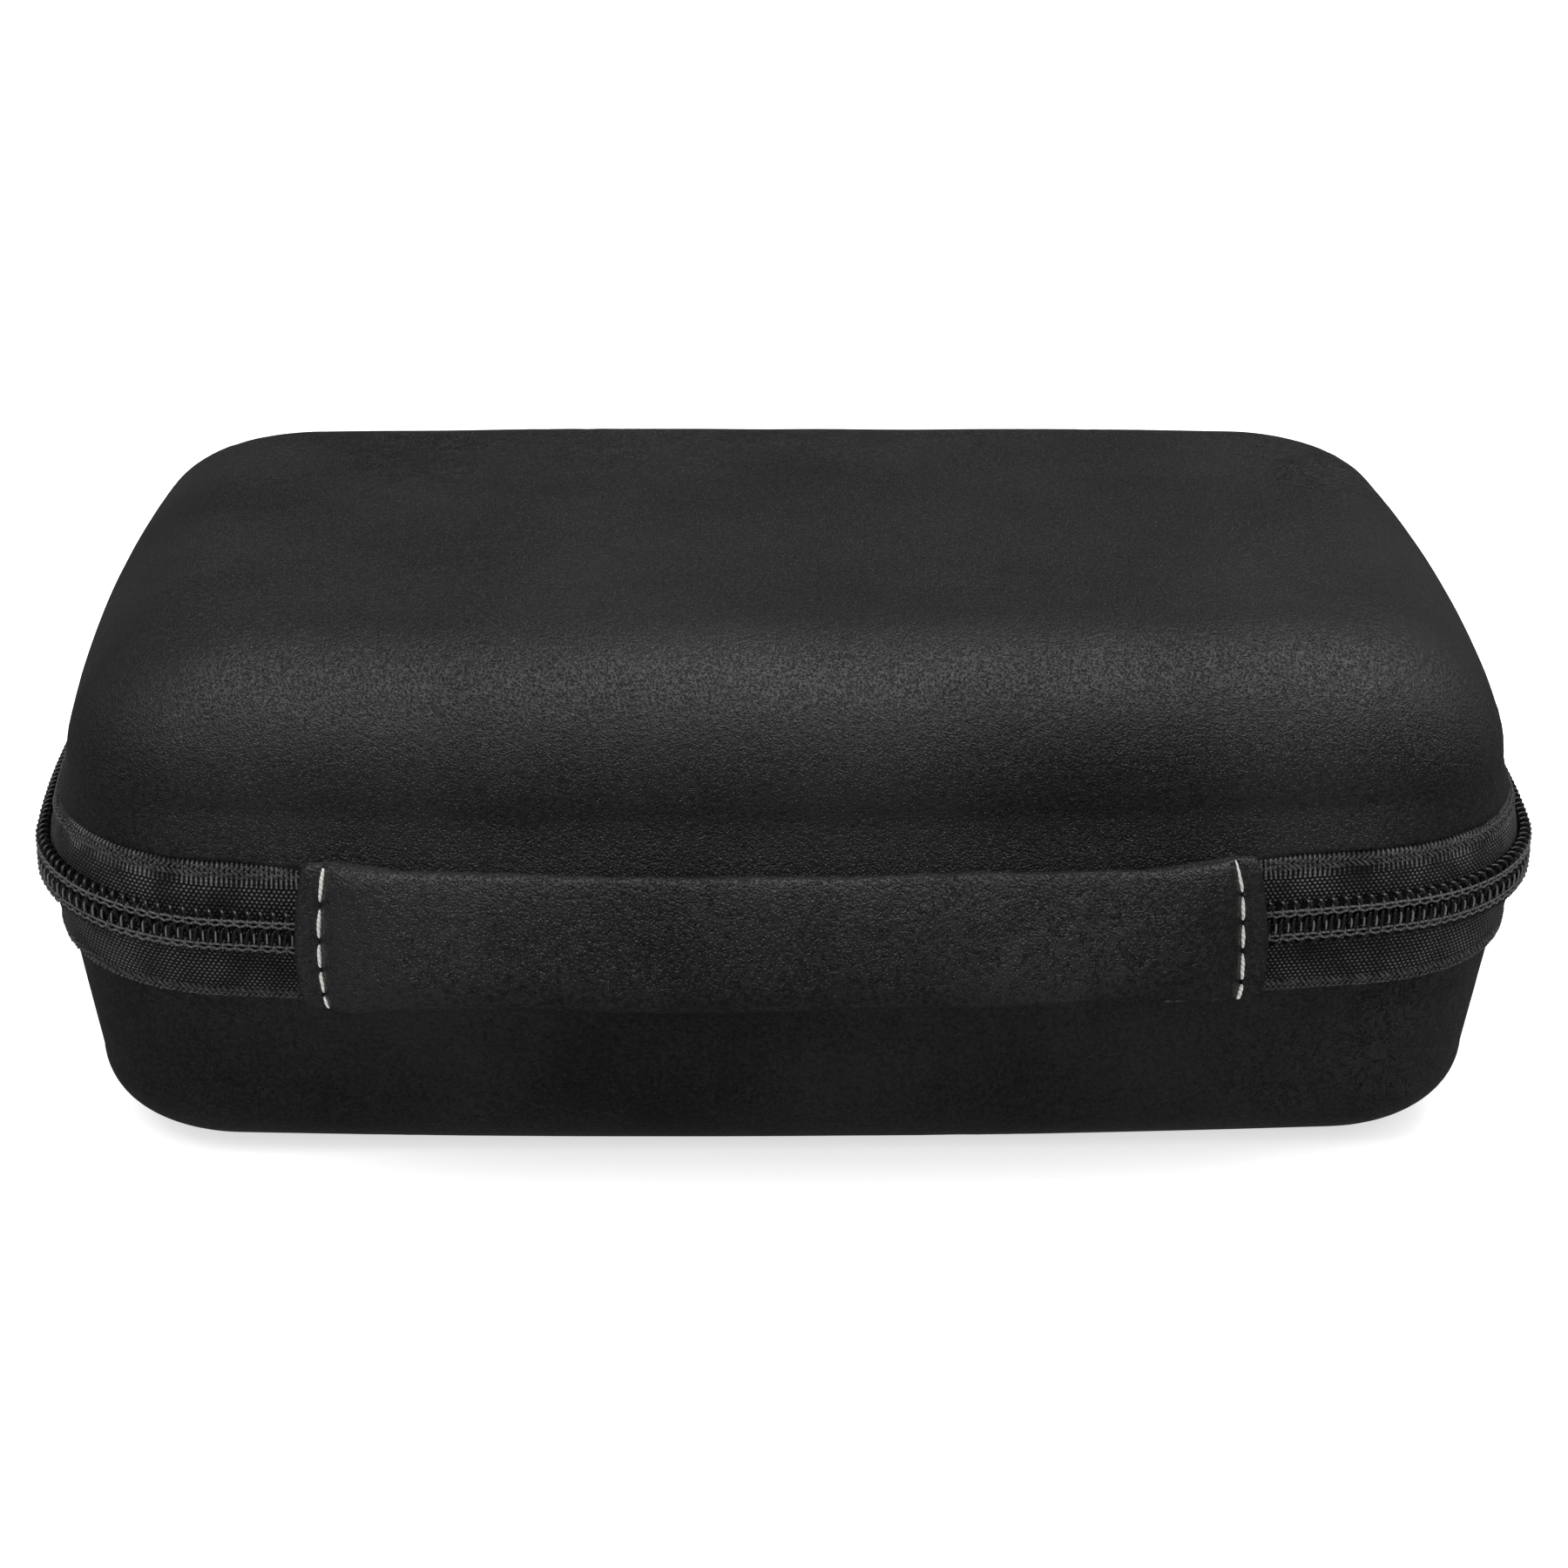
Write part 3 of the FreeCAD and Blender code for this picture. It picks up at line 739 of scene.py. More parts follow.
def shell_profile(half, inside, step, above):
    """Rows of a shell from just past its edge to its flat, as (offset, tighter, z)."""
    size = sizes()
    if half == "lid":
        edge, flat, lean, rounding = LID_LOW.z, LID_HIGH.z, size.lid_lean, size.lid_round
    else:
        edge, flat, lean, rounding = BASE_HIGH.z, BASE_LOW.z, size.base_lean, size.base_round
    way = 1 if flat > edge else -1
    height = abs(flat - edge)
    wall = height - rounding
    tight = 5 * MM
    radius = rounding - inside
    rows = []
    for share in stretch(above / wall, 1, step / wall):
        rows.append((-inside - lean * wall / height * share, tight * share,
                     edge + way * wall * share))
    for angle in stretch(0, math.pi / 2, step / rounding)[1:]:
        turned = 1 - math.cos(angle)
        rows.append((-inside - lean * wall / height - radius * turned,
                     tight - 0.6 * rounding * turned, edge + way * (wall + radius * math.sin(angle))))
    return rows


def cap_rings(ring, step):
    """Rings that close a flat, shrinking onto the middle line of the ring."""
    points = np.array(ring)
    reach_x = points[:, 0].max()
    reach_y = points[:, 1].max()
    middle = np.zeros_like(points)
    middle[:, 0] = np.clip(points[:, 0], -(reach_x - reach_y), reach_x - reach_y)
    middle[:, 2] = points[:, 2]
    count = int(reach_y / step)
    return [points + (middle - points) * index / count for index in range(1, count + 1)]


def shell_surface(name, half, inside, step, lip, material_name, flip):
    """Smooth skin of one half, from a turned edge over the wall and rounding to the flat."""
    columns = shell_columns(step)
    rings = [np.array(shell_ring(columns, offset, tighter, z)) for offset, tighter, z in lip]
    for offset, tighter, z in shell_profile(half, inside, step, 0.8 * MM):
        rings.append(np.array(shell_ring(columns, offset, tighter, z)))
    rings += cap_rings(rings[-1], step * 1.15)
    points = np.concatenate(rings)
    faces = grid_faces(len(rings), len(columns), wrap=True, flip=flip)
    piece = new_piece(name, points, faces, material(material_name))
    clean(piece, 2e-5)
    return piece


def dent(piece, amounts, keep):
    """Push vertices along their normals by layers of noise: (size, depth, mask size)."""
    mesh = piece.data
    count = len(mesh.vertices)
    places = np.zeros(count * 3)
    mesh.vertices.foreach_get("co", places)
    places = places.reshape(-1, 3)
    normals = np.array([v.normal for v in mesh.vertices])
    push = np.zeros(count)
    for size, depth, mask in amounts:
        for index, place in enumerate(places):
            value = noise.noise(Vector(place) / size)
            if mask:
                patch = noise.noise(Vector(place) / mask + Vector((9, 4, 2)))
                value = (0.5 - abs(value)) * max(0.0, min(1.0, (patch - 0.05) * 4))
            push[index] += value * depth
    if keep is not None:
        push *= keep(places)
    places += normals * push[:, None]
    mesh.vertices.foreach_set("co", places.ravel())
    mesh.update()


def leather_shell(half):
    """Leather skin with a turned edge at the zipper."""
    size = sizes()
    way = HALVES[half]
    edge = SHELL_EDGE[half]
    turn = 0.4 * MM
    lip = [(-1.3 * MM, 0.0, edge + way * 2.2 * MM), (-1.0 * MM, 0.0, edge + way * 0.6 * MM)]
    for degrees in (-70, -35, 0, 35, 70):
        angle = math.radians(degrees)
        lip.append((-turn + turn * math.sin(angle) - 0.1 * MM, 0.0,
                    edge + way * (turn - turn * math.cos(angle))))
    piece = shell_surface(half + "_leather", half, 0.0, size.mesh_step, lip, "shell_leather",
                          half == "base")

    def away_from_edge(places):
        height = np.abs(places[:, 2] - edge)
        floor = np.clip((places[:, 2] - BASE_LOW.z) / (4 * MM), 0, 1)
        return np.clip(height / (6 * MM), 0.15, 1) * floor

    dent(piece, [(62 * MM, 0.35 * MM, 0), (17 * MM, 0.10 * MM, 0),
                 (3.4 * MM, 0.16 * MM, 46 * MM)], away_from_edge)
    return finish_piece(piece, half, "shell_leather", [half + "_leather"])


def lining_surface(half):
    """Lining of one half, open towards the parting plane."""
    size = sizes()
    way = HALVES[half]
    edge = SHELL_EDGE[half]
    inside = size.wall + size.lining
    start = PARTING + way * 1.3 * MM
    lip = [(-inside + 0.9 * MM, 0.0, start), (-inside + 0.3 * MM, 0.0, start)]
    for z in stretch(start + way * 0.5 * MM, edge, 1.5 * MM)[:-1]:
        lip.append((-inside, 0.0, z))
    piece = shell_surface(half + "_lining", half, inside, 1.5 * MM, lip, "lining", half == "lid")
    dent(piece, [(30 * MM, 0.5 * MM, 0), (7 * MM, 0.12 * MM, 0)],
         lambda places: np.clip(np.abs(places[:, 2] - edge) / (8 * MM), 0, 1))
    return finish_piece(piece, half, "lining_fabric", [half + "_lining"])


# ---------------------------------------------------------------- strips round the rim

def strip(name, rim, along, section, material_name, flip=False, ripple=0.0, cap=True):
    """Closed strip: a loop of (out, height) points carried along the rim, with a UV map."""
    section = np.asarray(section, float)
    loop = np.concatenate([section, section[:1]])
    girth = np.concatenate([[0], np.cumsum(np.linalg.norm(np.diff(loop, axis=0), axis=1))])
    rows = []
    uv = []
    for number, (out, height) in enumerate(loop):
        sway = np.array([noise.noise(Vector((a * 55, height * 140, 3.1))) for a in along])
        rows.append(rim.wrap(along, out + sway * ripple, height))
        uv.append(np.stack([along, np.full(len(along), girth[number])], -1))
    faces = grid_faces(len(loop), len(along), flip=flip)
    piece = new_piece(name, np.concatenate(rows), faces, material(material_name),
                      np.concatenate(uv))
    clean(piece)
    if cap:
        with editing(piece.data) as work:
            open_edges = [edge for edge in work.edges if edge.is_boundary]
            bmesh.ops.holes_fill(work, edges=open_edges, sides=0)
    return piece


def band_out(half, height):
    """How far the outside of the tape stands past the rim at a height from the parting."""
    low = 0.0 if half == "lid" else 0.25 * MM
    share = (np.abs(height) - TAPE_GAP) / (TAPE_REACH[half] - TAPE_GAP)
    return TAPE_BULGE - (TAPE_BULGE - low) * np.clip(share, 0, None) ** 2


def zipper_span(rim, extra=0.0):
    start = HINGE_REACH + 0.4 * MM + extra
    return start, rim.total - start


def tape_section(half, thickness):
    """Outer face up to the edge that tucks behind the leather, and the inner face back down."""
    way = HALVES[half]
    far = TAPE_REACH[half]
    outer = [(band_out(half, h), h) for h in np.linspace(TAPE_GAP, far, 13)]
    inner = [(out - thickness, h) for out, h in reversed(outer)]
    tuck = []
    if half == "lid":
        tuck = [(outer[-1][0] - 0.4 * MM, far + 0.22 * MM), (outer[-1][0] - 1.5 * MM, far + 0.3 * MM)]
    return [(out, way * h) for out, h in outer + tuck + inner]


def zipper_tape(half):
    rim = Rim()
    start, end = zipper_span(rim, -2.5 * MM)
    section = tape_section(half, 0.7 * MM)
    # The base's tape takes the darker copy of the weave, which is painted shade.
    piece = strip(half + "_zipper_tape", rim, stretch(start, end, 1.1 * MM), section,
                  "zipper_tape" if half == "lid" else "base_tape", flip=half == "base",
                  ripple=0.12 * MM)
    return finish_piece(piece, half, "zipper_tape", [half + "_zipper_tape"])


def zipper_path(extra, out, height):
    """Points along the zipper, out from the rim and above the parting plane."""
    rim = Rim()
    start, end = zipper_span(rim, extra)
    return rim.wrap(stretch(start, end, PATH_STEP), out, height)


def selvedge(half):
    """Braided edge of a tape: two rows of short yarns that lean against each other."""
    pitch = 0.98 * MM
    half_run = 0.62 * MM
    for number, (height, lean) in enumerate(((0.62, 1), (1.5, -1))):
        half_rise = 0.46 * MM * lean
        points = [(half_run * along, out * MM, half_rise * rise) for along, out, rise in
                  ((-1, 0.14, -1), (-0.5, -0.12, -0.72), (0, -0.2, 0), (0.5, -0.12, 0.72),
                   (1, 0.14, 1))]
        item = tube("yarn", points, [r * MM for r in (0.14, 0.2, 0.23, 0.2, 0.14)], 5)
        place = TAPE_REACH[half] - height * MM - (0.1 * MM if half == "lid" else 0.0)
        path = zipper_path(number * 0.4 * pitch, band_out(half, place), HALVES[half] * place)
        piece = repeat("%s_selvedge_%d" % (half, number + 1), path, item, pitch, "selvedge", 0.14)
        finish_piece(piece, half, "zipper_tape")


def coil_turn(half, size):
    """One turn of the coil: a leg over the tape, the head past the parting plane, a leg back."""
    way = HALVES[half]
    pitch = size.coil_pitch
    # share of the pitch, mm out from the band, mm past the parting plane
    rounds = [(-0.42, 0.50, 3.45), (-0.36, 1.00, 3.68), (-0.24, 1.50, 3.58), (-0.08, 1.80, 3.10),
              (0.04, 1.92, 2.30), (0.10, 1.92, 1.40), (0.14, 1.90, 0.55), (0.20, 1.72, -0.10),
              (0.28, 1.35, -0.42), (0.36, 0.95, -0.36), (0.42, 0.62, 0.10), (0.47, 0.45, 1.00),
              (0.52, 0.40, 2.20), (0.55, 0.38, 3.20), (0.58, 0.50, 3.45)]
    points = [((along - 0.25) * pitch, -out * MM, way * height * MM)
              for along, out, height in rounds]
    return tube("turn", points, size.wire / 2, 6, closed_ends=False)


def zipper_coil(half):
    size = sizes()
    shift = COIL_END + (0 if half == "lid" else size.coil_pitch / 2)
    path = zipper_path(shift, band_out(half, COIL_MIDDLE), 0.0)
    piece = repeat(half + "_zipper_coil", path, coil_turn(half, size), size.coil_pitch, "coil")
    return finish_piece(piece, half, "zipper_coil", [half + "_zipper_coil"])


def coil_stitches(half):
    """Chain stitch that sews a coil to its tape, tied down between the turns."""
    pitch = sizes().coil_pitch
    strands = []
    for height in (-0.36, 0.36):
        points = []
        for share in np.linspace(-0.5, 0.5, 7):
            lift = 0.16 + 0.16 * math.cos(share * 2 * math.pi)
            bow = height * (0.55 + 0.75 * math.cos(share * math.pi) ** 2)
            points.append((share * pitch, -lift * MM, bow * MM))
        strands.append(tube("strand", points, 0.185 * MM, 5, closed_ends=False))
    along = -0.5 * pitch
    tie = [(along - 0.08 * MM, 0.45 * MM, -0.75 * MM), (along, -0.2 * MM, -0.3 * MM),
           (along + 0.04 * MM, -0.26 * MM, 0.15 * MM), (along + 0.1 * MM, 0.45 * MM, 0.75 * MM)]
    item = joined(strands + [tube("tie", tie, 0.17 * MM, 5)], "chain")
    lift = band_out(half, 2.1 * MM) + 2.02 * MM
    path = zipper_path(COIL_END + 4 * MM, lift, HALVES[half] * 2.05 * MM)
    piece = repeat(half + "_coil_stitches", path, item, pitch, "coil_thread", 0.05)
    return finish_piece(piece, half, "zipper_coil")


def coil_highlight_bars():
    """Light bar on each head where the two coils lock together: a painted highlight on the heads."""
    pitch = sizes().coil_pitch
    points = [(along * MM, out * MM, height * MM) for along, out, height in
              ((-0.04, 0.25, -1.15), (0, 0, -0.85), (0.02, -0.06, -0.2), (0.02, 0, 0.45),
               (0, 0.3, 0.75))]
    item = tube("ridge", points, [r * MM for r in (0.09, 0.15, 0.17, 0.15, 0.09)], 5)
    lift = band_out("base", COIL_MIDDLE) + 2.26 * MM
    path = zipper_path(COIL_END + pitch * 0.36, lift, -0.3 * MM)
    piece = repeat("base_coil_ridges", path, item, pitch, "coil_ridge", 0.1)
    return finish_piece(piece, "base", "zipper_coil")


def seam_row(name, body, slot_name, path):
    """Row of plain dark stitches along a path."""
    pitch = sizes().seam
    points = [(pitch * 0.36 * along, out * MM, 0) for along, out in
              ((-1, 0.12), (-0.75, -0.14), (0, -0.24), (0.75, -0.14), (1, 0.12))]
    item = tube("stitch", points, 0.28 * MM, 6)
    return finish_piece(repeat(name, path, item, pitch, "dark_thread", 0.05), body, slot_name)


def binding(half):
    """Binding over a rim: a soft leg inside and a foot over the foam's edge."""
    rim = Rim()
    size = sizes()
    way = HALVES[half]
    skin = size.wall + size.lining
    inner = -skin - 0.75 * MM
    section = [(-1.15 * MM, 1.15), (-1.15 * MM, 0.85), (-1.5 * MM, 0.62), (-3.5 * MM, 0.60),
               (inner + 0.6 * MM, 0.62), (inner + 0.15 * MM, 0.8), (inner, 1.3), (inner, 4.0),
               (inner, 7.4), (inner + 0.2 * MM, 8.0), (-skin - 0.02 * MM, 8.2),
               (-skin - 0.02 * MM, 1.15)]
    loop = [(out, way * height * MM) for out, height in section]
    along = stretch(0, rim.total, 1.5 * MM)
    piece = strip(half + "_binding", rim, along, loop, "binding", flip=half == "lid",
                  ripple=0.06 * MM, cap=False)
    finish_piece(piece, half, "binding_fabric", [half + "_binding"])
    path = rim.wrap(stretch(0, rim.total, PATH_STEP)[::-1], inner - 0.02 * MM, way * 6.6 * MM)
    seam_row(half + "_binding_stitches", half, "binding_fabric", path)


# ---------------------------------------------------------------- hinge

class RearRim(Rim):
    """The rim with distances that run through the middle of the back."""

    def at(self, along):
        return super().at(np.mod(np.asarray(along, float), self.total))


def hinge_strip():
    """Outer hinge strip, one piece of fabric from base to lid."""
    rim = RearRim()
    start, end = -HINGE_REACH, HINGE_REACH
    low = -TAPE_REACH["base"]
    high = TAPE_REACH["lid"] + 0.25 * MM
    heights = np.linspace(low, high, 47)
    outer = [(band_out("lid" if h > 0 else "base", h) + 0.2 * MM, h) for h in heights]
    inner = [(out - 0.9 * MM, h) for out, h in reversed(outer)]
    piece = strip("hinge_strip", rim, stretch(start, end, 1.5 * MM), outer + inner, "hinge",
                  ripple=0.1 * MM)
    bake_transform(piece)
    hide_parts("base_hinge_strip", "lid_hinge_strip")
    for half, height in (("base", low + 2.2 * MM), ("lid", high - 2.4 * MM)):
        along = stretch(start + 2 * MM, end - 2 * MM, PATH_STEP)
        path = rim.wrap(along, band_out(half, height) + 0.25 * MM, height)
        seam_row(half + "_hinge_stitches", half, "hinge_fabric", path)


def hinge_lining():
    """Inner hinge lining, folded between the rims."""
    rim = RearRim()
    reach = HINGE_REACH - 1 * MM
    size = sizes()
    deep = -(size.wall + size.lining)
    fold = 0.45 * MM
    under = [(out, -0.38 * MM) for out in np.linspace(deep, fold, 9)]
    over = [(out, 0.38 * MM) for out in np.linspace(fold, deep, 9)]
    bend = [(fold + 0.24 * MM * math.cos(a), 0.38 * MM * math.sin(a))
            for a in np.linspace(-1.1, 1.1, 5)]
    outer = under + bend + over
    inner = [(out - 0.02 * MM, height * 0.45) for out, height in reversed(outer)]
    piece = strip("hinge_lining", rim, stretch(-reach, reach, 2 * MM), outer + inner, "binding")
    outward(piece)
    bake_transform(piece)
    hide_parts("base_hinge_lining", "lid_hinge_lining")


# ---------------------------------------------------------------- zipper hardware

def plate(name, outline, low, high):
    """Plate of an (along, height) outline between two distances out."""
    mesh = bpy.data.meshes.new(name)
    with editing(mesh) as work:
        face = work.faces.new([work.verts.new((x, -high, z)) for x, z in outline])
        made = bmesh.ops.extrude_face_region(work, geom=[face])
        for vertex in made["geom"]:
            if isinstance(vertex, bmesh.types.BMVert):
                vertex.co.y = -low
        bmesh.ops.recalc_face_normals(work, faces=work.faces)
    return add_object(name, mesh)


def wrapped_plate(name, rim, middle, outline, low, high, bevel):
    """Bevelled plate bent round the rim."""
    piece = bevelled(plate(name, outline, low, high), bevel)
    bend_round(piece, rim, middle)
    return piece


def bend_round(piece, rim, middle):
    """Take a mesh with x along, -y out and z up to its place on the rim."""
    places = np.array([v.co for v in piece.data.vertices])
    bent = rim.wrap(middle + places[:, 0], -places[:, 1], places[:, 2])
    piece.data.vertices.foreach_set("co", bent.ravel())
    piece.data.update()


def rounded_outline(half_length, half_height, radius, taper=0.0):
    """Rounded rectangle; taper narrows its end at +x."""
    steps = 5
    points = []
    for cx, cz, start in ((1, 1, 0), (-1, 1, 90), (-1, -1, 180), (1, -1, 270)):
        for index in range(steps + 1):
            angle = math.radians(start + 90 * index / steps)
            x = cx * (half_length - radius) + radius * math.cos(angle)
            z = cz * (half_height - radius) + radius * math.sin(angle)
            share = (x + half_length) / (2 * half_length)
            points.append((x, z * (1 - taper * share ** 2)))
    return points


# Which way each slider's nose points along the rim, and how far out its wing stands.
SLIDERS = {"front": (1, 3.98 * MM), "rear": (-1, 4.58 * MM)}


def slider_places():
    """Distance along the rim of each slider, from where its CAD body stands."""
    rim = Rim()
    along = stretch(0, rim.total, 0.25 * MM)
    points = rim.at(along)[0]
    found = {}
    for name in SLIDERS:
        low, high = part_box("slider_" + name)
        middle = np.array([(low.x + high.x) / 2, (low.y + high.y) / 2])
        found[name] = float(along[np.argmin(np.linalg.norm(points - middle, axis=1))])
    return rim, found


def slider(name, rim, middle):
    """Slider: outer wing with a crest, inner wing, and a bridge for the pull."""
    way, lift = SLIDERS[name]
    outline = rounded_outline(6.4 * MM, 5.1 * MM, 2.3 * MM, 0.2)
    outline = [(x * way, z) for x, z in outline]
    wing = wrapped_plate("wing", rim, middle, outline, lift, lift + 1.2 * MM, 0.35 * MM)
    crest = [(x * 0.8, z * 0.62) for x, z in outline]
    dome = wrapped_plate("crest", rim, middle, crest, lift + 1.0 * MM, lift + 1.42 * MM, 0.2 * MM)
    under = wrapped_plate("under", rim, middle, [(x * 0.98, z * 0.86) for x, z in outline],
                          -0.45 * MM, 0.35 * MM, 0.2 * MM)
    bridge = []
    for index in range(13):
        angle = math.pi * index / 12
        bridge.append((3.0 * MM * math.cos(angle),
                       -(lift + 1.0 * MM + 2.35 * MM * math.sin(angle) ** 0.6), 0))
    arch = tube("bridge", bridge, 0.85 * MM, 10, 0.42)
    bend_round(arch, rim, middle)
    whole = joined([wing, dome, under, arch], "slider_" + name + "_body")
    whole.data.materials.append(material("metal"))
    return finish_piece(whole, "slider_" + name, "zipper_metal", ["slider_" + name])


def pull(name):
    """Pull tab: a loop through the bridge, and a plate with a raised border and ribs."""
    joint = JOINTS["pull_" + name + "_swing"]
    pivot = Vector(joint["pos_m"])
    low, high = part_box("pull_" + name)
    middle = (low + high) / 2
    ahead = Vector((middle.x - pivot.x, middle.y - pivot.y, 0)).normalized()
    reach = 16.2 * MM
    ring = []
    for index in range(28):
        angle = 2 * math.pi * index / 28
        ring.append((2.15 * MM + 2.6 * MM * math.cos(angle), 0, 2.75 * MM * math.sin(angle)))
    loop = tube("loop", ring + ring[:1], 0.52 * MM, 8, closed_ends=False)
    outline = [(x + (reach + 4.4 * MM) / 2, z)
               for x, z in rounded_outline((reach - 4.4 * MM) / 2, 3.2 * MM, 2.0 * MM)]
    tab = bevelled(plate("plate", outline, -0.42 * MM, 0.42 * MM), 0.2 * MM, 2)
    border = tube("border", [(x, 0, z) for x, z in outline + outline[:1]], 0.52 * MM, 8,
                  closed_ends=False)
    ribs = []
    for index in range(4):
        x = reach - (3.2 + index * 1.7) * MM
        ribs.append(tube("rib", [(x, 0, -1.9 * MM), (x, 0, 1.9 * MM)], 0.55 * MM, 8))
    whole = joined([loop, tab, border] + ribs, "pull_" + name + "_tab")
    clean(whole, 1e-5)
    side = Vector((0, 0, 1)).cross(ahead)
    turn = Matrix((ahead, side, (0, 0, 1))).transposed().to_4x4()
    whole.data.transform(Matrix.Translation(pivot) @ turn)
    whole.data.materials.append(material("metal"))
    return finish_piece(whole, "pull_" + name, "zipper_metal", ["pull_" + name])


def end_stop(half, side):
    """Crimped stop at the end of a coil."""
    rim = Rim()
    way = HALVES[half]
    start, end = zipper_span(rim)
    inset = 1.5 * MM
    middle = start + inset if side == "left" else end - inset
    outline = [(x, z + way * COIL_MIDDLE)
               for x, z in rounded_outline(1.4 * MM, 1.45 * MM, 0.5 * MM)]
    seat = float(band_out(half, COIL_MIDDLE))
    piece = wrapped_plate(half + "_stop_" + side, rim, middle, outline, seat - 0.1 * MM,
                          seat + 1.7 * MM, 0.45 * MM)
    piece.data.materials.append(material("metal"))
    smooth(piece.data)
    return finish_piece(piece, half, "zipper_metal", [half + "_end_stop_" + side])


# ---------------------------------------------------------------- handle

HANDLE_BACK = 4.3 * MM        # from the rim to the back of the handle
HANDLE_SHIFT = -1.5 * MM      # the handle is sewn on a little to the left
HANDLE_THICK = 9.2 * MM       # where its padding is full
HANDLE_UP = 12.3 * MM         # from the middle of its sewn end to the top
HANDLE_DOWN = 12.4 * MM       # and to the bottom
FLAP = 4.0 * MM               # from the end of the handle to its row of stitches
FLAP_THICK = 2.6 * MM
PADDING_STARTS = 17 * MM      # from the stitches to where the padding is full
WAIST_STARTS = 16 * MM        # from the stitches to where the handle is at its narrowest
TOP_CORNER = 1.7 * MM
LOW_CORNER = 2.8 * MM


def handle_shape(along):
    """Thickness, height above and below the middle, and share of the waist, along the handle."""
    rise = np.clip((along - FLAP) / PADDING_STARTS, 0, 1)
    swell = rise ** 0.8 * (1.35 - 0.35 * rise)
    thinnest = FLAP_THICK - 0.2 * MM
    thick = np.where(along < FLAP, FLAP_THICK, thinnest + (HANDLE_THICK - thinnest)
                     * np.clip(swell, 0, 1))
    thick = thick - 0.55 * MM * np.exp(-((along - FLAP) / (0.9 * MM)) ** 2)
    thick = thick * (0.35 + 0.65 * np.sqrt(np.clip(along / (0.7 * MM), 0, 1)))
    narrow = np.clip((along - FLAP) / WAIST_STARTS, 0, 1)
    narrow = narrow * narrow * (3 - 2 * narrow)
    up = HANDLE_UP - 0.9 * MM * narrow - corner_loss(along, TOP_CORNER)
    down = HANDLE_DOWN - 1.9 * MM * narrow - corner_loss(along, LOW_CORNER)
    return thick, up, down, narrow


def end_slant(side, up):
    """How far the end of the handle strays sideways, from its bottom (-1) to its top (1)."""
    lean, bow = (0.5, 1.0) if side == "left" else (-1.05, -0.85)
    return (lean * up + bow * (up * up - 0.5)) * MM


def corner_loss(along, radius):
    """How much a rounded corner takes off the height at a distance from the end."""
    into = np.clip(radius - along, 0, radius)
    return radius - np.sqrt(np.clip(radius ** 2 - into ** 2, 0, None))


def handle_half(side):
    """One half of the leather handle, from the middle of the front to its sewn end."""
    rim = Rim()
    way = SIDES[side]
    middle = rim.total / 2 + HANDLE_SHIFT
    reach = COVER_HIGH.x
    rise = (COVER_HIGH.z + COVER_LOW.z) / 2 - PARTING
    inner = reach - stretch(0, reach, 0.8 * MM)
    ends = np.array([3.0, 2.4, 1.8, 1.3, 0.9, 0.55, 0.3, 0.12, 0.0]) * MM
    along = np.unique(np.round(np.concatenate([inner, ends, FLAP + np.linspace(-1, 1, 9) * MM]),
                               7))[::-1]
    thick, above, below, narrow = handle_shape(along)
    around = 64
    square = 0.42 + 0.33 * narrow
    place = middle + way * (reach - along)
    rows = []
    for index in range(around):
        angle = 2 * math.pi * index / around
        c, s = math.cos(angle), math.sin(angle)
        out = np.copysign(abs(c) ** (square if c > 0 else 0.35), c)
        up = np.copysign(abs(s) ** (square * 1.1), s)
        wave = np.array([noise.noise(Vector((a * 34, 2.0, s * 0.4))) for a in place])
        calm = np.clip((reach - along) / (8 * MM), 0, 1) * (0.25 + 0.75 * narrow)
        crown = 1 - 0.33 * narrow * (1 + up) * (c > 0)
        lift = HANDLE_BACK + thick * np.where(c > 0, 0.2 + 0.8 * out * crown, 0.2 + 0.2 * out)
        tall = rise + np.where(s > 0, above, below) * up + wave * 0.55 * MM * calm
        slant = end_slant(side, up) * np.exp(-along / (14 * MM))
        rows.append(rim.wrap(place + slant, lift, tall))
    points = np.stack(rows, 1)
    faces = grid_faces(len(along), around, wrap=True, flip=way > 0)
    last = (len(along) - 1) * around
    faces.append(tuple(range(last, last + around)))
    piece = new_piece("handle_" + side, points.reshape(-1, 3), faces,
                      material("handle_leather"))
    outward(piece)

    def away(places):
        from_middle = np.abs(places[:, 0] - HANDLE_SHIFT)
        return (np.clip((from_middle - 1.5 * MM) / (8 * MM), 0, 1)
                * np.clip((reach - from_middle - FLAP * 0.8) / (6 * MM), 0, 1))

    dent(piece, [(21 * MM, 0.45 * MM, 0), (6.5 * MM, 0.16 * MM, 0),
                 (3.2 * MM, 0.22 * MM, 22 * MM)], away)
    return hang_handle(piece, ["handle_cover", "handle_padding",
                                                      "handle_webbing"])


def hang_handle(piece, replaced):
    """Settle a piece, bake its place into its mesh, and hide the CAD parts it replaces."""
    settle(piece)
    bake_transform(piece)
    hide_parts(*replaced)
    return piece


# Needle holes of each row from the bottom up: share of the handle's height, sideways stray in mm.
NEEDLE_HOLES = {
    "left": ((0.0, 0.57), (0.11, -0.08), (0.29, -0.53), (0.49, -0.58), (0.74, -0.1), (1.0, 0.72)),
    "right": ((0.0, 0.25), (0.13, 0.77), (0.35, 0.52), (0.55, 0.22), (0.75, -0.03), (1.0, -1.6)),
}


def needle_places(side):
    """(distance along the rim, height) of each needle hole, and how far out the leather is."""
    place = Rim().total / 2 + HANDLE_SHIFT + SIDES[side] * (COVER_HIGH.x - FLAP)
    rise = (COVER_HIGH.z + COVER_LOW.z) / 2 - PARTING
    thick, above, below = handle_shape(np.array([FLAP]))[:3]
    low, high = rise - float(below[0]), rise + float(above[0])
    places = [(place + stray * MM, low + share * (high - low))
              for share, stray in NEEDLE_HOLES[side]]
    return places, HANDLE_BACK + float(thick[0])


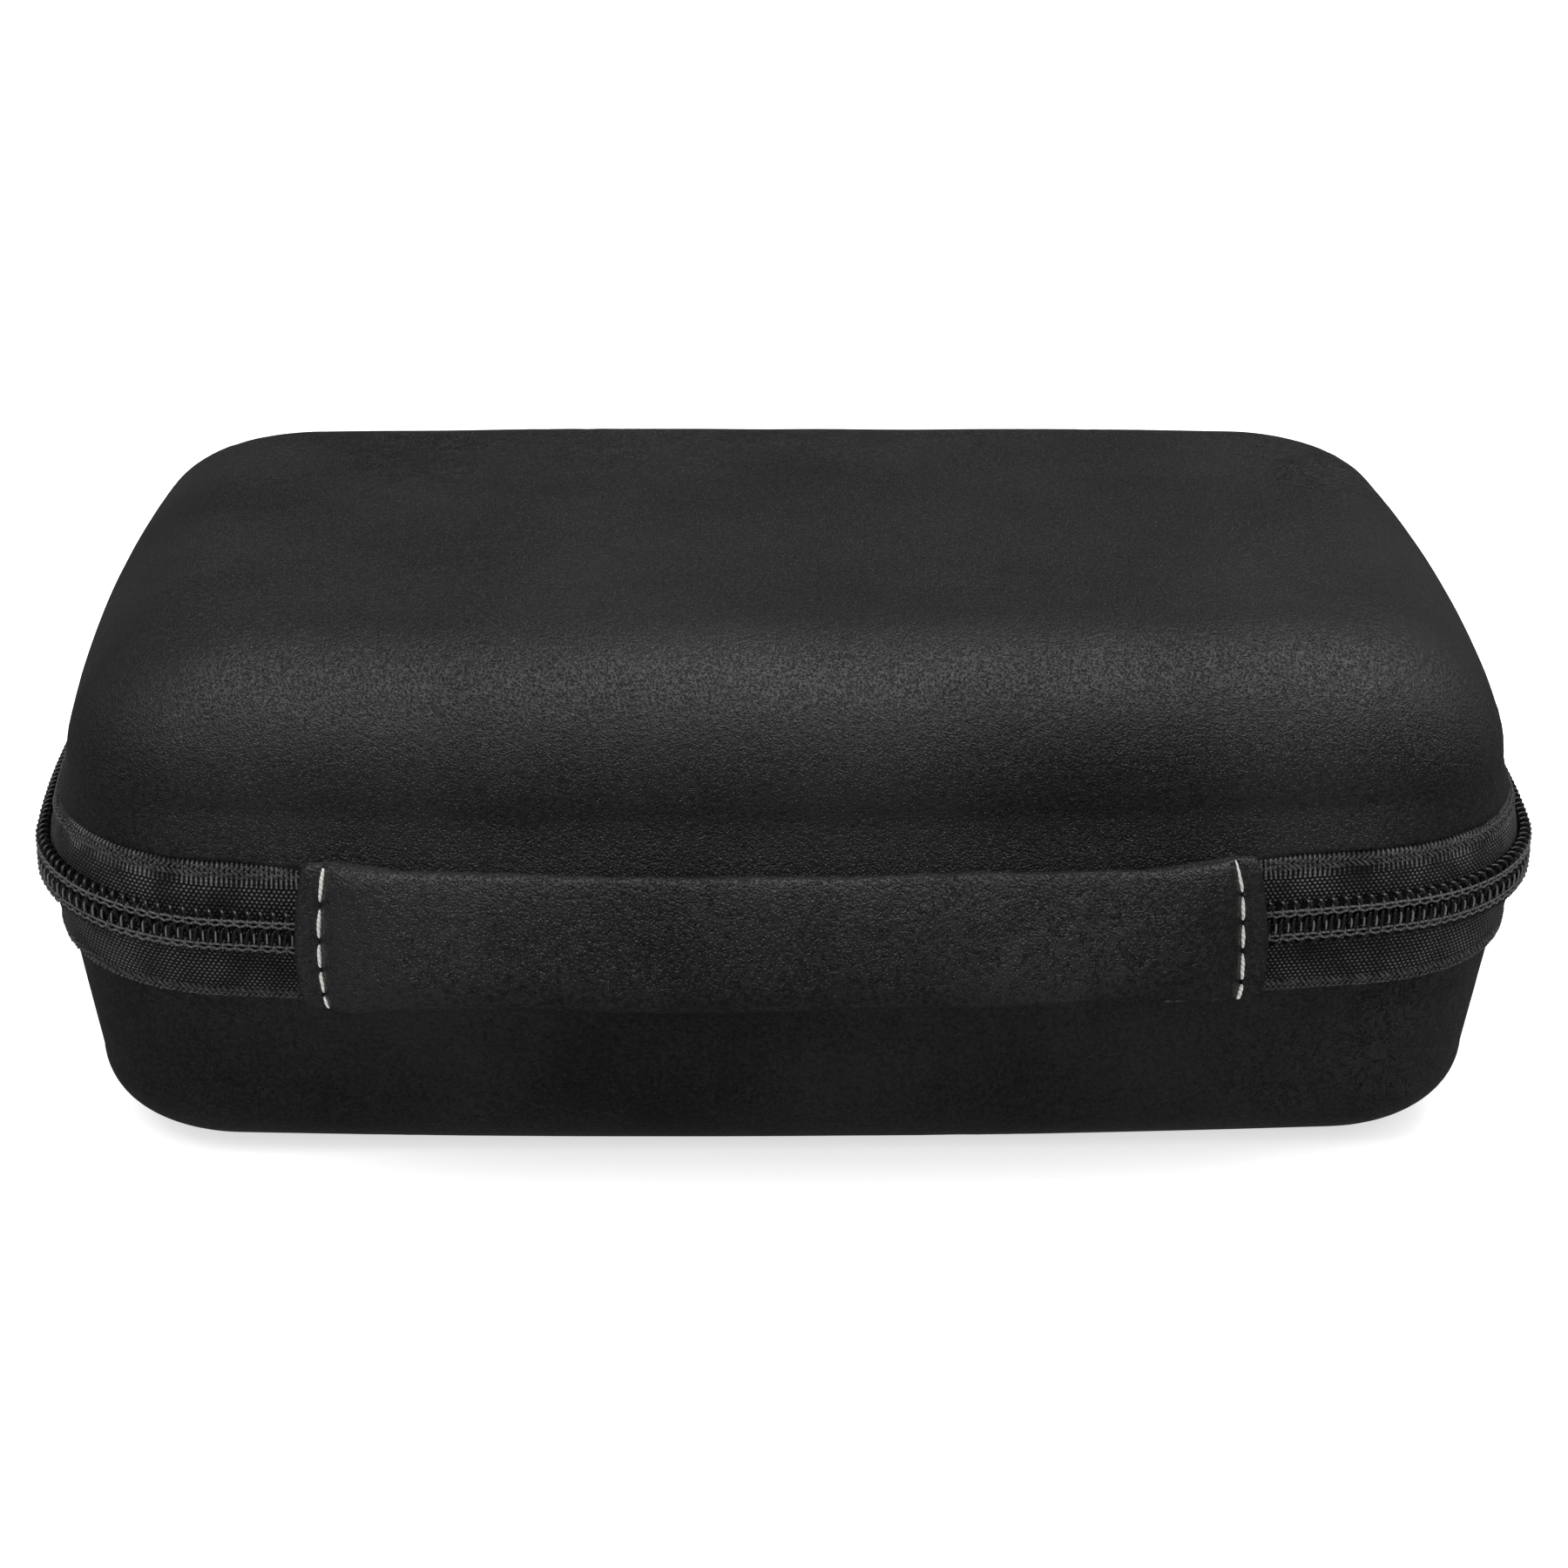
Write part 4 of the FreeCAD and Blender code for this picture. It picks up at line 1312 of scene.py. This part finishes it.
def handle_stitches(side):
    """Row of light thread across an end of the handle, each stitch a little out of line."""
    rim = Rim()
    places, out = needle_places(side)
    shuffle = random.Random(11 if side == "left" else 5)
    pieces = []
    for low, high in zip(places[:-1], places[1:]):
        gap = shuffle.uniform(0.2, 0.4) * MM
        points = []
        for share in np.linspace(0, 1, 11):
            arch = math.sin(math.pi * share)
            sway = arch * shuffle.uniform(-0.06, 0.06) * MM
            x = (1 - share) * low[0] + share * high[0] + sway
            z = low[1] + gap + (high[1] - low[1] - 2 * gap) * share
            lift = out + (0.44 * arch ** 0.4 - 0.3) * MM
            points.append(tuple(rim.wrap(np.array(x), np.array(lift), z)))
        radii = [0.2, 0.3, 0.34, 0.35, 0.37, 0.38, 0.37, 0.36, 0.34, 0.3, 0.2]
        pieces.append(tube("stitch", points, [r * MM for r in radii], 8))
    whole = joined(pieces, "handle_thread_" + side)
    whole.data.materials.append(material("thread"))
    return hang_handle(whole, ["handle_stitches_" + side])


def needle_holes(side):
    """Dark plugs in the needle holes between the stitches: painted shade inside the holes."""
    rim = Rim()
    places, out = needle_places(side)
    pieces = []
    for x, z in places[1:-1]:
        points = [tuple(rim.wrap(np.array(x), np.array(out + lift * MM), z))
                  for lift in (-0.5, -0.2, 0.0, 0.1)]
        pieces.append(tube("hole", points, [0.3 * MM, 0.4 * MM, 0.46 * MM, 0.34 * MM], 10))
    whole = joined(pieces, "handle_holes_" + side)
    whole.data.materials.append(material("hole"))
    return hang_handle(whole, [])


def handle_anchor(side):
    """Folded webbing tab that ties an end of the handle to the base."""
    rim = Rim()
    name = "handle_anchor_" + side
    low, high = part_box(name)
    middle = rim.total / 2 + HANDLE_SHIFT
    heights = (low.z - PARTING, high.z - PARTING)
    near = float(band_out("base", heights[1]))
    section = [(HANDLE_BACK - 0.1 * MM, heights[0] + 0.3 * MM), (HANDLE_BACK, heights[0] + 0.9 * MM),
               (HANDLE_BACK, heights[1] - 0.4 * MM), (HANDLE_BACK - 0.3 * MM, heights[1]),
               (near + 0.05 * MM, heights[1]), (near + 0.05 * MM, heights[0] + 1.2 * MM),
               (near + 0.5 * MM, heights[0])]
    ends = sorted((middle + low.x, middle + high.x))
    piece = strip(name + "_webbing", rim, stretch(ends[0], ends[1], 1 * MM), section, "webbing")
    outward(piece)
    return finish_piece(piece, "base", "webbing", [name])


# ---------------------------------------------------------------- stage

ROOM_LIGHT = 0.68
ROOM_MIRRORED = 0.09          # the room's light where a glossy surface mirrors it
FLOOR_GLOW = 0.62             # added to the floor as the camera sees it
LIGHTS = (                    # name, place, width, height, power
    ("overhead", (0.1, -0.14, 1.2), 2.3, 0.42, 12.6),
    ("left", (-1.3, 0.5, 0.75), 1.0, 0.9, 1.0),
    ("right", (1.3, 0.4, 0.75), 1.0, 1.0, 1.6),
)


def studio_floor():
    mesh = bpy.data.meshes.new("floor")
    reach = 6.0
    mesh.from_pydata([(-reach, -reach, 0), (reach, -reach, 0), (reach, reach, 0),
                      (-reach, reach, 0)], [], [(0, 1, 2, 3)])
    floor = add_object("floor", mesh)
    recipe = Recipe("floor", colours().floor, 0.9, 0.1)
    recipe.tint(recipe.noise(3.0), colours().floor, scaled(colours().floor, 1.02))
    recipe.shader.inputs["Emission Color"].default_value = (1, 1, 1, 1)
    seen = recipe.node("ShaderNodeLightPath").outputs["Is Camera Ray"]
    recipe.join(recipe.product(seen, FLOOR_GLOW), recipe.shader.inputs["Emission Strength"])
    mesh.materials.append(recipe.material)
    floor.visible_glossy = False


def studio_light(name, place, width, height, power):
    lamp = bpy.data.lights.new(name, "AREA")
    lamp.shape = "RECTANGLE"
    lamp.size, lamp.size_y = width, height
    lamp.energy = power
    holder = add_object(name, lamp)
    holder.location = place
    aim = Vector((0, 0, 0.05))
    holder.rotation_euler = (aim - Vector(place)).to_track_quat("-Z", "Y").to_euler()


def studio_camera():
    """Camera a little left of the middle, looking down on the front."""
    lens = bpy.data.cameras.new("camera")
    camera = add_object("camera", lens)
    elevation, azimuth, roll = (math.radians(a) for a in (23.18, -1.54, 0.48))
    back = Vector((math.sin(azimuth) * math.cos(elevation),
                   -math.cos(azimuth) * math.cos(elevation), math.sin(elevation)))
    target = Vector((0.1 * MM, 0, LID_HIGH.z / 2))
    camera.location = target + back * 587 * MM
    facing = (-back).to_track_quat("-Z", "Y").to_matrix().to_4x4()
    camera.rotation_euler = (facing @ Matrix.Rotation(roll, 4, "Z")).to_euler()
    lens.sensor_width = 36
    lens.lens = 75.47
    lens.shift_x = 0.0019
    lens.shift_y = -0.0197
    lens.clip_start = 0.01
    lens.clip_end = 50
    bpy.context.scene.camera = camera


def studio_world():
    """Pale room that lights evenly, and is dim where a glossy surface mirrors it."""
    world = bpy.data.worlds.new("studio")
    world.use_nodes = True
    tree = world.node_tree
    sky = tree.nodes["Background"]
    sky.inputs["Color"].default_value = (1, 1, 1, 1)
    ray = tree.nodes.new("ShaderNodeLightPath")
    dim = tree.nodes.new("ShaderNodeMapRange")
    dim.inputs["To Min"].default_value = ROOM_LIGHT
    dim.inputs["To Max"].default_value = ROOM_MIRRORED
    tree.links.new(ray.outputs["Is Glossy Ray"], dim.inputs["Value"])
    tree.links.new(dim.outputs["Result"], sky.inputs["Strength"])
    bpy.context.scene.world = world
    bpy.context.scene.view_settings.view_transform = "Standard"


# ---------------------------------------------------------------- operators and panel

class CASE_OT_leather(bpy.types.Operator):
    """Leather skins of the lid and the base"""
    bl_idname = "case.leather"
    bl_label = "Leather shells"
    bl_options = {"REGISTER", "UNDO"}

    def execute(self, context):
        for half in HALVES:
            leather_shell(half)
        return {"FINISHED"}


class CASE_OT_inside(bpy.types.Operator):
    """Foam, linings and bindings"""
    bl_idname = "case.inside"
    bl_label = "Foam, lining and binding"
    bl_options = {"REGISTER", "UNDO"}

    def execute(self, context):
        for half in HALVES:
            lining_surface(half)
            binding(half)
            shell = frame["nodes"][half + "_shell"]
            shell.data.materials.clear()
            shell.data.materials.append(material("foam"))
        return {"FINISHED"}


class CASE_OT_tapes(bpy.types.Operator):
    """Woven zipper tapes with their selvedges"""
    bl_idname = "case.tapes"
    bl_label = "Zipper tapes"
    bl_options = {"REGISTER", "UNDO"}

    def execute(self, context):
        for half in HALVES:
            zipper_tape(half)
            selvedge(half)
        return {"FINISHED"}


class CASE_OT_coils(bpy.types.Operator):
    """Nylon coils, their chain stitches and the end stops"""
    bl_idname = "case.coils"
    bl_label = "Zipper coils"
    bl_options = {"REGISTER", "UNDO"}

    def execute(self, context):
        for half in HALVES:
            zipper_coil(half)
            coil_stitches(half)
            for side in SIDES:
                end_stop(half, side)
        # Painted highlight bars on the coil heads.
        coil_highlight_bars()
        return {"FINISHED"}


class CASE_OT_sliders(bpy.types.Operator):
    """Two sliders with their pulls"""
    bl_idname = "case.sliders"
    bl_label = "Sliders and pulls"
    bl_options = {"REGISTER", "UNDO"}

    def execute(self, context):
        rim, places = slider_places()
        for name, middle in places.items():
            slider(name, rim, middle)
            pull(name)
        return {"FINISHED"}


class CASE_OT_hinge(bpy.types.Operator):
    """Outer hinge strip and inner hinge lining"""
    bl_idname = "case.hinge"
    bl_label = "Hinge"
    bl_options = {"REGISTER", "UNDO"}

    def execute(self, context):
        hinge_strip()
        hinge_lining()
        return {"FINISHED"}


class CASE_OT_handle(bpy.types.Operator):
    """Padded leather handle, its stitches and the webbing that holds it"""
    bl_idname = "case.handle"
    bl_label = "Handle"
    bl_options = {"REGISTER", "UNDO"}

    def execute(self, context):
        for side in SIDES:
            handle_half(side)
            handle_stitches(side)
            needle_holes(side)
            handle_anchor(side)
        return {"FINISHED"}


class CASE_OT_stage(bpy.types.Operator):
    """Floor, lights and camera"""
    bl_idname = "case.stage"
    bl_label = "Studio"
    bl_options = {"REGISTER", "UNDO"}

    def execute(self, context):
        studio_floor()
        studio_world()
        for light in LIGHTS:
            studio_light(*light)
        studio_camera()
        return {"FINISHED"}


class CASE_PT_panel(bpy.types.Panel):
    """Sidebar list of everything the case is made of"""
    bl_label = "Headphone case"
    bl_idname = "CASE_PT_panel"
    bl_space_type = "VIEW_3D"
    bl_region_type = "UI"
    bl_category = "Case"

    def draw(self, context):
        layout = self.layout
        for operator in OPERATORS:
            layout.operator(operator.bl_idname)
        for group in (context.scene.case_sizes, context.scene.case_colours):
            box = layout.box()
            for name in type(group).__annotations__:
                box.prop(group, name)


OPERATORS = (CASE_OT_leather, CASE_OT_inside, CASE_OT_tapes, CASE_OT_coils, CASE_OT_sliders,
             CASE_OT_hinge, CASE_OT_handle, CASE_OT_stage)
CLASSES = (CaseSizes, CaseColours) + OPERATORS + (CASE_PT_panel,)


def register():
    for each in CLASSES:
        bpy.utils.register_class(each)
    bpy.types.Scene.case_sizes = bpy.props.PointerProperty(type=CaseSizes)
    bpy.types.Scene.case_colours = bpy.props.PointerProperty(type=CaseColours)


def unregister():
    del bpy.types.Scene.case_colours
    del bpy.types.Scene.case_sizes
    for each in reversed(CLASSES):
        bpy.utils.unregister_class(each)


def main():
    register()
    for operator in OPERATORS:
        group, name = operator.bl_idname.split(".")
        getattr(getattr(bpy.ops, group), name)()


if __name__ == "__main__":
    main()
